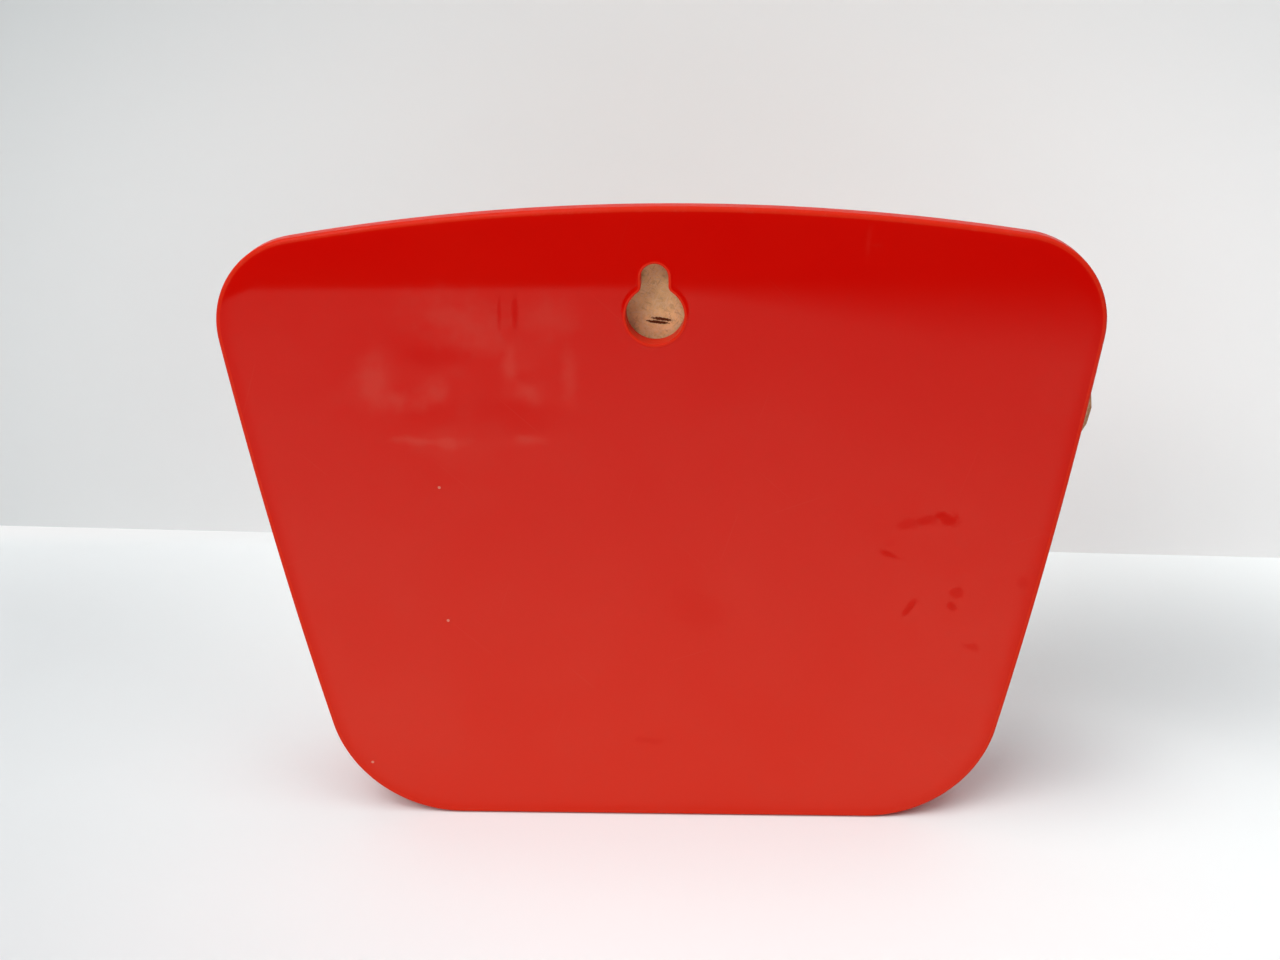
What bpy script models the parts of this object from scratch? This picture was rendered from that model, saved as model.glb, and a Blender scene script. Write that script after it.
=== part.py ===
"""Wall holder for cone filter papers, with its papers.

A thick fan-shaped back plate hangs on a screw by its keyhole. An open-topped pocket is bonded to
its front, and a stack of flat papers stands in the pocket. Metres, +Z up. The pocket opens upwards
and faces -Y, and the plate's wall face looks to +Y. The origin lies on the standing surface, under
the middle of the holder.
"""

import math

import bmesh
import bpy
from mathutils import Vector

# Overall sizes of the holder.
HOLDER_WIDTH = 0.182
HOLDER_HEIGHT = 0.1418

# The fan outline: a flat base and four arcs on each side, each tangent to the next.
BASE_FLAT = 0.093
LOW_CORNER = 0.0294
SIDE_RADIUS = 1.238
TOP_CORNER = 0.0192
CROWN_RISE = 0.0057

# Back plate and its keyhole.
PLATE_THICKNESS = 0.0045
PLATE_EDGE_ROUND = 0.0008
KEY_HEAD_DIAMETER = 0.012
KEY_SLOT_WIDTH = 0.0056
KEY_SLOT_RISE = 0.0080
KEY_HEAD_BELOW_CROWN = 0.0223

# Pocket. Its inside depth follows from the stack and the finger room in front of it.
POCKET_HEIGHT = 0.062
POCKET_WALL = 0.0028
POCKET_FRONT_ROUND = 0.0030
POCKET_INNER_ROUND = 0.0014
POCKET_RIM_ROUND = 0.0007
FINGER_ROOM = 0.0100
DIP_WIDTH = 0.084
DIP_DEPTH = 0.015

# Papers. Their outline follows the holder's, so that they fill it at any size.
SHEET_COUNT = 24
SHEET_THICKNESS = 0.0005
SHEET_GAP = 0.0003
SHEET_TO_PLATE = 0.0010
SHEET_BELOW_CROWN = 0.0154
SHEET_CROWN_RISE = 0.0219
SHEET_OVERHANG = 0.0015
SHEET_FOOT_INSET = 0.0065
SHEET_SHOULDER_ROUND = 0.012

# How the papers stand: the rear ones have slipped over to -X, the others are nearly upright.
REAR_LEAN = math.radians(5.0)
REAR_SLIP = 0.0057
FRONT_WOBBLE = math.radians(0.7)
FRONT_SLIP = 0.0009
WOBBLE_STEP = 2.4
SLIP_STEP = 1.7

# Gaps between touching pieces, and how far a cutter runs past what it cuts.
BOND_LINE = 0.0003
FLOOR_GAP = 0.0003
OVERCUT = 0.010

# Facets of each arc.
CORNER_STEPS = 14
SIDE_STEPS = 6
CROWN_STEPS = 10
ROUND_STEPS = 24
SHARP_EDGE = math.radians(35)

# Values worked out from the sizes above.
SHEET_PITCH = SHEET_THICKNESS + SHEET_GAP
STACK_DEPTH = SHEET_COUNT * SHEET_PITCH - SHEET_GAP
POCKET_INSIDE = SHEET_TO_PLATE - BOND_LINE + STACK_DEPTH + FINGER_ROOM
POCKET_DEPTH = POCKET_INSIDE + POCKET_WALL
HOLDER_DEPTH = PLATE_THICKNESS + BOND_LINE + POCKET_DEPTH
WALL_FACE_Y = HOLDER_DEPTH / 2
PLATE_FRONT_Y = WALL_FACE_Y - PLATE_THICKNESS
POCKET_BACK_Y = PLATE_FRONT_Y - BOND_LINE
POCKET_FRONT_Y = POCKET_BACK_Y - POCKET_DEPTH
SHEET_HEIGHT = HOLDER_HEIGHT - SHEET_BELOW_CROWN
SHEET_SHOULDER_HEIGHT = SHEET_HEIGHT - SHEET_CROWN_RISE
SHEET_HALF_SPREAD = HOLDER_WIDTH / 2 + SHEET_OVERHANG
SHEET_HALF_FOOT = BASE_FLAT / 2 - SHEET_FOOT_INSET

PLASTIC_RED = (0.60, 0.012, 0.008, 1.0)
PAPER_BROWN = (0.36, 0.20, 0.095, 1.0)


def clear_scene():
    for item in list(bpy.data.objects):
        bpy.data.objects.remove(item, do_unlink=True)


def new_collection(name):
    collection = bpy.data.collections.new(name)
    bpy.context.scene.collection.children.link(collection)
    return collection


def new_material(name, colour, roughness, metallic=0.0):
    material = bpy.data.materials.new(name)
    material.use_nodes = True
    shader = material.node_tree.nodes["Principled BSDF"]
    shader.inputs["Base Color"].default_value = colour
    shader.inputs["Roughness"].default_value = roughness
    shader.inputs["Metallic"].default_value = metallic
    return material


def arc(centre, radius, start, end, steps):
    """Points on an arc about a centre in the x-z plane, both ends included."""
    points = []
    for step in range(steps + 1):
        angle = start + (end - start) * step / steps
        points.append(centre + Vector((math.cos(angle), math.sin(angle))) * radius)
    return points


def direction(start, end):
    """Angle of the line from one point to another."""
    return math.atan2(end.y - start.y, end.x - start.x)


def touching_centre(low, low_distance, top, top_distance):
    """The point to the left of low-top that lies at the two given distances from them."""
    span = top - low
    along = (low_distance ** 2 - top_distance ** 2 + span.length_squared) / (2 * span.length)
    across = math.sqrt(low_distance ** 2 - along ** 2)
    unit = span.normalized()
    return low + unit * along + Vector((-unit.y, unit.x)) * across


def mirrored(half):
    """Close a half outline, listed from the base up, with its mirror image in the middle plane."""
    other = [Vector((-point.x, point.y)) for point in reversed(half)]
    points = []
    for point in half + other:
        if not points or (point - points[-1]).length > 1e-6:
            points.append(point)
    if (points[0] - points[-1]).length < 1e-6:
        points.pop()
    return points


def holder_outline(inset=0.0, cut_height=None):
    """The holder's fan outline, drawn in by inset, whole or cut off level at a height."""
    low = Vector((BASE_FLAT / 2, LOW_CORNER))
    top = Vector((HOLDER_WIDTH / 2 - TOP_CORNER, HOLDER_HEIGHT - CROWN_RISE - TOP_CORNER))
    crown_drop = HOLDER_HEIGHT - top.y
    crown_radius = (top.x ** 2 + crown_drop ** 2 - TOP_CORNER ** 2) / (2 * CROWN_RISE)
    crown = Vector((0.0, HOLDER_HEIGHT - crown_radius))
    side = touching_centre(low, SIDE_RADIUS - LOW_CORNER, top, SIDE_RADIUS - TOP_CORNER)
    side_start = direction(side, low)
    side_end = direction(side, top)
    crown_start = direction(crown, top)
    half = arc(low, LOW_CORNER - inset, -math.pi / 2, side_start, CORNER_STEPS)
    if cut_height is not None:
        cut_end = math.asin((cut_height - side.y) / (SIDE_RADIUS - inset))
        half += arc(side, SIDE_RADIUS - inset, side_start, cut_end, SIDE_STEPS)
        return mirrored(half)
    half += arc(side, SIDE_RADIUS - inset, side_start, side_end, SIDE_STEPS)
    half += arc(top, TOP_CORNER - inset, side_end, crown_start, CORNER_STEPS)
    half += arc(crown, crown_radius - inset, crown_start, math.pi / 2, CROWN_STEPS)
    return mirrored(half)


def keyhole_outline():
    """A round head with a narrower slot rising from it."""
    head = Vector((0.0, HOLDER_HEIGHT - KEY_HEAD_BELOW_CROWN))
    head_radius = KEY_HEAD_DIAMETER / 2
    slot_radius = KEY_SLOT_WIDTH / 2
    meeting = math.acos(slot_radius / head_radius)
    points = arc(head, head_radius, math.pi - meeting, 2 * math.pi + meeting, ROUND_STEPS)
    points += arc(head + Vector((0.0, KEY_SLOT_RISE)), slot_radius, 0.0, math.pi, ROUND_STEPS // 2)
    return points


def dip_outline():
    """The finger dip in the pocket's front edge: one smooth wave, closed off above the edge."""
    points = []
    for step in range(ROUND_STEPS + 1):
        share = 2 * step / ROUND_STEPS - 1
        depth = DIP_DEPTH * (1 + math.cos(math.pi * share)) / 2
        points.append(Vector((share * DIP_WIDTH / 2, POCKET_HEIGHT - depth)))
    points[0].y = POCKET_HEIGHT + OVERCUT
    points[-1].y = POCKET_HEIGHT + OVERCUT
    return points


def sheet_outline():
    """A flat paper: narrow foot, straight sides, rounded shoulders and an arched top."""
    rise = SHEET_CROWN_RISE
    arch_radius = (rise ** 2 + SHEET_HALF_SPREAD ** 2) / (2 * rise)
    arch = Vector((0.0, SHEET_HEIGHT - arch_radius))
    foot = Vector((SHEET_HALF_FOOT, 0.0))
    shoulder = Vector((SHEET_HALF_SPREAD, SHEET_SHOULDER_HEIGHT))
    side = (shoulder - foot).normalized()
    inward = Vector((-side.y, side.x))
    # The rounding touches the side, and the arch from inside.
    start = foot + inward * SHEET_SHOULDER_ROUND - arch
    reach = arch_radius - SHEET_SHOULDER_ROUND
    half_b = start.dot(side)
    travel = -half_b + math.sqrt(half_b ** 2 - start.length_squared + reach ** 2)
    centre = arch + start + side * travel
    round_start = direction(Vector((0.0, 0.0)), -inward)
    round_end = direction(arch, centre)
    half = [foot]
    half += arc(centre, SHEET_SHOULDER_ROUND, round_start, round_end, CORNER_STEPS // 2)
    half += arc(arch, arch_radius, round_end, math.pi / 2, CROWN_STEPS)
    return mirrored(half)


def prism(name, outline, y_low, y_high, collection):
    """A solid with the given x-z outline between two depths, as a mesh object."""
    curve = bpy.data.curves.new(name, "CURVE")
    curve.dimensions = "2D"
    curve.fill_mode = "BOTH"
    curve.extrude = (y_high - y_low) / 2
    spline = curve.splines.new("POLY")
    spline.points.add(len(outline) - 1)
    for spline_point, point in zip(spline.points, outline):
        spline_point.co = (point.x, point.y, 0.0, 1.0)
    spline.use_cyclic_u = True
    flat = bpy.data.objects.new(name + "_outline", curve)
    flat.location = (0.0, (y_low + y_high) / 2, 0.0)
    flat.rotation_euler = (math.pi / 2, 0.0, 0.0)
    collection.objects.link(flat)
    bpy.context.view_layer.update()
    mesh = bpy.data.meshes.new_from_object(flat.evaluated_get(bpy.context.evaluated_depsgraph_get()))
    mesh.name = name
    mesh.transform(flat.matrix_world)
    solid = bpy.data.objects.new(name, mesh)
    collection.objects.link(solid)
    bpy.data.objects.remove(flat, do_unlink=True)
    work = bmesh.new()
    work.from_mesh(mesh)
    bmesh.ops.remove_doubles(work, verts=work.verts, dist=1e-6)
    bmesh.ops.dissolve_limit(work, angle_limit=math.radians(0.05), verts=work.verts, edges=work.edges)
    bmesh.ops.recalc_face_normals(work, faces=work.faces)
    work.to_mesh(mesh)
    work.free()
    return solid


def round_front_edges(solid, y_front, level_top, radius, steps):
    """Round the edges around a prism's front face, except its level top edge."""
    work = bmesh.new()
    work.from_mesh(solid.data)
    edges = []
    for edge in work.edges:
        at_front = all(abs(vert.co.y - y_front) < 1e-6 for vert in edge.verts)
        at_top = all(abs(vert.co.z - level_top) < 1e-6 for vert in edge.verts)
        if at_front and not at_top:
            edges.append(edge)
    bmesh.ops.bevel(
        work, geom=edges, offset=radius, segments=steps, profile=0.5,
        affect="EDGES", clamp_overlap=True,
    )
    work.to_mesh(solid.data)
    work.free()


def make_cutter(solid):
    solid.hide_render = True
    solid.display_type = "WIRE"


def cut(solid, cutter):
    boolean = solid.modifiers.new("cut_" + cutter.name, "BOOLEAN")
    boolean.operation = "DIFFERENCE"
    boolean.solver = "EXACT"
    boolean.object = cutter


def round_sharp_edges(solid, radius, steps):
    bevel = solid.modifiers.new("rounded_edges", "BEVEL")
    bevel.limit_method = "ANGLE"
    bevel.angle_limit = SHARP_EDGE
    bevel.width = radius
    bevel.segments = steps
    bevel.use_clamp_overlap = True


def shade(solid, material):
    solid.data.materials.clear()
    solid.data.materials.append(material)
    solid.data.shade_smooth()
    solid.data.set_sharp_from_angle(angle=SHARP_EDGE)


def build_back_plate(parts, cutters, material):
    plate = prism("back_plate", holder_outline(), PLATE_FRONT_Y, WALL_FACE_Y, parts)
    keyhole = prism(
        "keyhole_cutter", keyhole_outline(), PLATE_FRONT_Y - OVERCUT, WALL_FACE_Y + OVERCUT, cutters,
    )
    make_cutter(keyhole)
    cut(plate, keyhole)
    round_sharp_edges(plate, PLATE_EDGE_ROUND, 3)
    shade(plate, material)


def build_front_pocket(parts, cutters, material):
    pocket = prism(
        "front_pocket", holder_outline(cut_height=POCKET_HEIGHT), POCKET_FRONT_Y, POCKET_BACK_Y, parts,
    )
    round_front_edges(pocket, POCKET_FRONT_Y, POCKET_HEIGHT, POCKET_FRONT_ROUND, 4)
    inner_front_y = POCKET_FRONT_Y + POCKET_WALL
    cavity_top = POCKET_HEIGHT + OVERCUT
    cavity = prism(
        "cavity_cutter", holder_outline(POCKET_WALL, cavity_top),
        inner_front_y, POCKET_BACK_Y + OVERCUT, cutters,
    )
    round_front_edges(cavity, inner_front_y, cavity_top, POCKET_INNER_ROUND, 3)
    make_cutter(cavity)
    dip = prism(
        "dip_cutter", dip_outline(), POCKET_FRONT_Y - OVERCUT, inner_front_y + OVERCUT, cutters,
    )
    make_cutter(dip)
    cut(pocket, cavity)
    cut(pocket, dip)
    round_sharp_edges(pocket, POCKET_RIM_ROUND, 2)
    shade(pocket, material)


def sheet_place(number):
    """Lean and foot position of one paper, counted from the plate."""
    slipped = (1 - number / (SHEET_COUNT - 1)) ** 2
    steady = 1 - slipped
    lean = REAR_LEAN * slipped + FRONT_WOBBLE * steady * math.sin(WOBBLE_STEP * number)
    slip = REAR_SLIP * slipped + FRONT_SLIP * steady * math.sin(SLIP_STEP * number)
    return lean, slip


def lift_axis(name, y, parts):
    """An empty on the line along which its papers lift out."""
    axis = bpy.data.objects.new(name, None)
    axis.empty_display_size = 0.02
    axis.location = (0.0, y, POCKET_WALL + FLOOR_GAP)
    parts.objects.link(axis)
    return axis


def build_papers(parts, material):
    """The papers, numbered from the plate forwards, each standing on its lower foot corner."""
    rear_face_y = PLATE_FRONT_Y - SHEET_TO_PLATE
    first_y = rear_face_y - SHEET_THICKNESS / 2
    last_y = first_y - (SHEET_COUNT - 1) * SHEET_PITCH
    stack_axis = lift_axis("stack_lift_axis", (first_y + last_y + SHEET_PITCH) / 2, parts)
    front_axis = lift_axis("front_sheet_lift_axis", last_y, parts)
    pattern = prism(
        "filter_paper_pattern", sheet_outline(), -SHEET_THICKNESS / 2, SHEET_THICKNESS / 2, parts,
    )
    mesh = pattern.data
    shade(pattern, material)
    bpy.data.objects.remove(pattern, do_unlink=True)
    for number in range(SHEET_COUNT):
        sheet = bpy.data.objects.new("filter_paper_%02d" % (number + 1), mesh)
        parts.objects.link(sheet)
        axis = front_axis if number == SHEET_COUNT - 1 else stack_axis
        sheet.parent = axis
        lean, slip = sheet_place(number)
        lift = SHEET_HALF_FOOT * abs(math.sin(lean))
        sheet.location = (slip, first_y - number * SHEET_PITCH - axis.location.y, lift)
        sheet.rotation_euler = (0.0, -lean, 0.0)


def main():
    clear_scene()
    parts = new_collection("filter_paper_holder")
    cutters = new_collection("cutters")
    plastic = new_material("red_plastic", PLASTIC_RED, 0.18)
    paper = new_material("brown_paper", PAPER_BROWN, 0.85)
    build_back_plate(parts, cutters, plastic)
    build_front_pocket(parts, cutters, plastic)
    build_papers(parts, paper)


main()
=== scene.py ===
"""Wall holder for cone filter papers, with its papers, on a pale studio table.

The frame gives the sizes and places. Each operator makes one piece, or one group of like pieces.
Metres, +Z up. The pocket faces -Y and the plate's wall face looks to +Y.
"""

import math

import bmesh
import bpy
from mathutils import Matrix, Vector


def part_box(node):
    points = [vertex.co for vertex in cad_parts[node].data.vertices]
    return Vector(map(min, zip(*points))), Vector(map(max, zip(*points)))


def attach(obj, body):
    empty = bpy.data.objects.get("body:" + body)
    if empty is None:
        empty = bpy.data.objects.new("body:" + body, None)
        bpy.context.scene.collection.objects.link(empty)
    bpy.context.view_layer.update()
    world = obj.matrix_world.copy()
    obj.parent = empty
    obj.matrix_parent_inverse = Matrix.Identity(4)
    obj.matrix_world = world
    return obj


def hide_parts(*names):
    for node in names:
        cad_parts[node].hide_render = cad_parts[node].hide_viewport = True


bl_info = {
    "name": "Filter paper holder",
    "version": (1, 0, 0),
    "blender": (4, 5, 0),
    "location": "View3D > Sidebar > Filter holder",
    "description": "Makes a wall holder for cone filter papers, with its papers",
    "category": "Add Mesh",
}

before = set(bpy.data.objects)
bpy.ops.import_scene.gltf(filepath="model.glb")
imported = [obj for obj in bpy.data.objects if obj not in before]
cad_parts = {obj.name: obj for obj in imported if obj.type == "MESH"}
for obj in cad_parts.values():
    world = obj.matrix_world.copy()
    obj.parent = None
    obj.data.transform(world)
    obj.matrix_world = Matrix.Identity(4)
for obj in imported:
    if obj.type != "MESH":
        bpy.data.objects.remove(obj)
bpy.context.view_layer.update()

PLATE_LOW, PLATE_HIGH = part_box("back_plate")
POCKET_LOW, POCKET_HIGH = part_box("front_pocket")
PAPER_NAMES = sorted(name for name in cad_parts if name.startswith("filter_paper_"))
PAPER_LOW, PAPER_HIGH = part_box(PAPER_NAMES[0])

# Facets: how many steps each curve is drawn in.
BASE_STEPS = 72
CORNER_STEPS = 26
SIDE_STEPS = 26
CROWN_STEPS = 30
HOLE_STEPS = 40
ROUND_STEPS = 6
RIM_BAND_STEPS = 6
PAPER_ROWS = 34
PAPER_COLUMNS = 46
SLIT_ROWS = 9

MM = 0.001
SAME_POINT = 1e-7

# Round the keyhole on the wall face: distance from its edge, share of the lip's height, edge value.
LIP_STATIONS = (
    (1.35 * MM, 0.0, 0.0), (0.95 * MM, 0.0, 0.05), (0.70 * MM, 0.5, 0.5), (0.50 * MM, 1.0, 1.0),
)
# Round the keyhole on the hidden face: distance from its edge, edge value.
HIDDEN_STATIONS = ((1.35 * MM, 0.0), (0.70 * MM, 0.4))

# Each ripple of a paper's mouth: radians per metre of width, share of the paper's phase, share
# of the wave's height.
RIPPLES = ((61.0, 1.0, 1.0), (143.0, 2.3, 0.6))
# The front paper's curl, in radians per metre of width.
CURL_RATE = 34.0
# From one paper to the next, in radians: its ripples, lean, sideways slip and tone.
RIPPLE_PHASE = 1.9
LEAN_PHASE = 2.4
SLIP_PHASE = 1.7
TONE_PHASE = 12.9898
# Widths of the creased band along the folded side, and of the band of painted shade along both sides.
FOLD_BAND = 1.2 * MM
SIDE_SHADE_BAND = 1.6 * MM
# How far the front paper's outer ply stands off at its mouth.
FRONT_GAPE = 0.55 * MM
# The foot's share of a paper's mean width.
FOOT_SHARE = 0.62
# From one ridge of a crimped seam to the next.
RIDGE_PITCH = 1.15 * MM

# Marks reach this far across the face that they are on, so that they show on no other face.
MARK_DEPTH = 3 * MM
PAPER_MARK_DEPTH = 2 * MM

# Marks on the plastic. Each row: x, z, reach along x and along z in millimetres, and then
# for a broad wiped patch the stretch of its pattern and its strength.
PLATE_WIPED = ((44.0, 106.0, 36.0, 26.0, 1.0, 0.3),)
POCKET_WIPED = ((30.0, 30.0, 40.0, 22.0, 1.4, 0.12),)
# For a pale dried film, or a dull touch mark, its lean, strength and raggedness.
PLATE_FILMS = (
    (40.0, 118.5, 16.5, 8.5, 0.25, 1.0, 1.2),
    (22.0, 119.0, 9.0, 7.0, 0.0, 0.8, 1.2),
    (59.0, 106.0, 5.0, 8.0, 0.35, 1.0, 1.4),
    (54.5, 101.5, 10.0, 3.4, 0.1, 1.0, 1.4),
    (47.0, 103.5, 6.2, 4.0, -0.5, 1.0, 1.4),
    (30.2, 109.0, 2.4, 8.0, 0.1, 1.0, 1.0),
    (26.5, 103.5, 5.6, 3.8, 0.4, 1.0, 1.2),
    (18.0, 107.0, 2.8, 10.0, 0.0, 0.9, 1.2),
    (50.0, 92.5, 11.0, 1.4, 0.05, 1.0, 1.6),
    (44.0, 92.2, 5.8, 1.8, 0.0, 1.0, 1.6),
    (26.2, 92.8, 5.0, 1.6, 0.0, 1.0, 1.4),
    (-42.6, 134.0, 0.8, 4.5, 0.05, 0.55, 1.2),
    (-44.0, 133.8, 2.2, 0.7, 0.0, 0.45, 1.2),
)
POCKET_FILMS = ((-30.0, 22.0, 14.0, 5.0, 0.3, 0.2, 1.4),)
PLATE_BLOTS = (
    (31.8, 120.3, 0.6, 4.6, 0.05, 0.9, 0.9),
    (28.6, 120.6, 0.9, 4.4, 0.02, 0.9, 0.9),
    (-61.3, 75.0, 3.2, 1.9, 0.2, 1.0, 1.9),
    (-57.4, 74.4, 3.0, 1.6, 0.0, 0.75, 2.0),
    (-53.0, 73.5, 2.8, 1.6, -0.2, 0.6, 2.0),
    (-49.3, 66.7, 2.8, 1.0, 0.45, 0.85, 1.8),
    (-49.8, 69.0, 1.6, 1.2, 0.0, 0.3, 2.2),
    (-54.6, 54.1, 1.2, 3.2, 0.5, 0.9, 1.6),
    (-64.6, 57.5, 1.8, 1.6, 0.3, 0.7, 2.0),
    (-63.6, 54.3, 1.8, 1.1, 0.0, 0.8, 1.8),
    (-78.5, 60.0, 1.6, 2.4, 0.0, 0.45, 1.8),
    (-68.2, 44.6, 2.0, 1.6, 0.0, 0.6, 2.0),
    (2.4, 19.9, 3.6, 1.2, 0.1, 0.4, 2.0),
    (-9.0, 53.0, 8.0, 6.0, 0.6, 0.22, 2.4),
    (34.0, 97.5, 18.0, 6.0, 0.0, 0.3, 1.4),
    (46.0, 111.0, 9.0, 3.0, 0.0, 0.3, 1.4),
)
POCKET_BLOTS = (
    (10.0, 36.0, 5.0, 7.0, 0.3, 0.2, 1.2),
    (-22.0, 40.0, 4.5, 6.5, -0.2, 0.18, 1.2),
)
# On the rearmost paper, from the keyhole's centre: x, z, reach along x and along z, lean.
PAPER_STROKES = ((-1.2, -2.1, 2.6, 0.42, 0.15), (-0.4, -2.75, 2.9, 0.40, 0.12))
# Painted light: a paler patch on the rearmost paper behind the keyhole, where the plate shades it. From
# the keyhole's centre: x, z, reach along x and along z.
PAPER_KEYHOLE_LIGHT = (0.0, 3.0, 12.5, 19.0)

# Stage: half the table's side, half the backdrop's width and its height, and how far both are
# sunk, so that the holder's foot never lies in the same plane.
TABLE_HALF = 4.0
BACKDROP_SIZE = 1.6
CARD_DROP = 0.15 * MM
LAMP_SIZE = 0.9
TOP_LAMP_SIZE = 1.4
LAMP_AIM = (0.0, 0.0, 0.05)
# The surround's light on things, as a share of how bright it looks.
SURROUND_LIGHT = 0.03
BLACK = (0.0, 0.0, 0.0)
# Painted reflection: the card's colour where gloss shows it.
GLOSSY_CARD = (0.88, 0.80, 0.60)


# ---------------------------------------------------------------- sizes and colours


def length(label, about, default, largest=2.0):
    """A length that a user may change, in metres."""
    return bpy.props.FloatProperty(
        name=label, description=about, default=default, min=0.0, max=largest,
        precision=5, unit="LENGTH", subtype="DISTANCE",
    )


def angle(label, about, degrees):
    """An angle that a user may change."""
    return bpy.props.FloatProperty(
        name=label, description=about, default=math.radians(degrees),
        min=-math.pi, max=math.pi, subtype="ANGLE",
    )


def share(label, about, default):
    """A plain factor from nought to one."""
    return bpy.props.FloatProperty(
        name=label, description=about, default=default, min=0.0, max=1.0, subtype="FACTOR",
    )


def colour(label, about, default):
    """A linear colour."""
    return bpy.props.FloatVectorProperty(
        name=label, description=about, default=default, size=3, min=0.0, max=1.0, subtype="COLOR",
    )


def watts(label, about, default):
    """The power of a light."""
    return bpy.props.FloatProperty(name=label, description=about, default=default, min=0.0, unit="POWER")


def place(label, about, default):
    """A point in the row frame."""
    return bpy.props.FloatVectorProperty(
        name=label, description=about, default=default, size=3, precision=4,
        unit="LENGTH", subtype="TRANSLATION",
    )


class HolderSizes(bpy.types.PropertyGroup):
    """Outline, plate and keyhole."""

    width: length("Width", "Width of the back plate", PLATE_HIGH.x - PLATE_LOW.x)
    height: length("Height", "Height of the back plate", PLATE_HIGH.z - PLATE_LOW.z)
    base_flat: length("Base flat", "Straight part of the lower edge", 0.093)
    low_corner: length("Lower corner", "Radius of the lower corners", 0.0294)
    side_radius: length("Side curve", "Radius of the slightly bowed sides", 1.238)
    top_corner: length("Upper corner", "Radius of the upper corners", 0.0192)
    crown_rise: length("Crown rise", "Rise of the top edge above the corners", 0.0057)
    edge_round: length("Edge round", "Radius on the plate's edges", 0.0008)
    face_crown: length("Face crown", "How far the faces fall away at the rim", 0.00004)
    crown_band: length("Crown band", "Width of the band that falls away", 0.0050)
    key_head: length("Keyhole head", "Diameter of the keyhole's round head", 0.012)
    key_slot: length("Keyhole slot", "Width of the keyhole's slot", 0.0056)
    key_rise: length("Keyhole rise", "Slot end above the head's centre", 0.0080)
    key_drop: length("Keyhole drop", "Head's centre below the crown", 0.0223)
    key_fillet: length("Keyhole fillet", "Radius where the slot runs into the head", 0.0016)
    key_round: length("Keyhole edge", "Radius on the keyhole's edges", 0.00025)
    key_lip: length("Keyhole lip", "Height of the moulded lip round the keyhole", 0.00007)


class PocketSizes(bpy.types.PropertyGroup):
    """The open-topped pocket on the plate's front."""

    height: length("Height", "Height of the pocket", POCKET_HIGH.z - POCKET_LOW.z)
    wall: length("Wall", "Thickness of the pocket's walls", 0.0028)
    front_round: length("Front round", "Radius round the outside of the front wall", 0.0030)
    inner_round: length("Inner round", "Radius round the inside of the front wall", 0.0014)
    rim_round: length("Rim round", "Radius on the free edges", 0.0007)
    dip_width: length("Dip width", "Width of the finger dip", 0.084)
    dip_depth: length("Dip depth", "Depth of the finger dip", 0.015)
    dip_fade: length("Dip fade", "Height over which the mesh follows the dip", 0.030)


class PaperSizes(bpy.types.PropertyGroup):
    """The flat two-ply cone papers."""

    below_crown: length("Below crown", "Paper's top below the plate's crown", 0.0154)
    arch_rise: length("Arch rise", "Rise of the arched mouth above the shoulders", 0.0219)
    overhang: length("Overhang", "Shoulder beyond the plate's half width", 0.0015)
    foot_inset: length("Foot inset", "Foot short of the plate's base flat, each side", 0.0065)
    shoulder_round: length("Shoulder round", "Radius of the shoulders", 0.012)
    thickness: length("Thickness", "Both plies with the air between them", 0.0005)
    ply: length("Ply", "Thickness of one ply", 0.00012)
    seam_width: length("Seam width", "Width of the crimped seams", 0.0048)
    seam_thickness: length("Seam thickness", "Both plies pressed together", 0.00030)
    wave: length("Wave", "Unevenness of a paper's mouth", 0.00010)
    front_curl: length("Front curl", "How far the front paper leans out at its mouth", 0.0011)
    stand_height: length("Stand height", "Foot of the papers above the table", PAPER_LOW.z)
    rear_lean: angle("Rear lean", "Lean of the paper next to the plate", 5.0)
    rear_slip: length("Rear slip", "Sideways slip of the paper next to the plate", 0.0057)
    front_wobble: angle("Front wobble", "Unevenness of the upright papers", 0.7)
    front_slip: length("Front slip", "Sideways unevenness of the upright papers", 0.0009)


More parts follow.
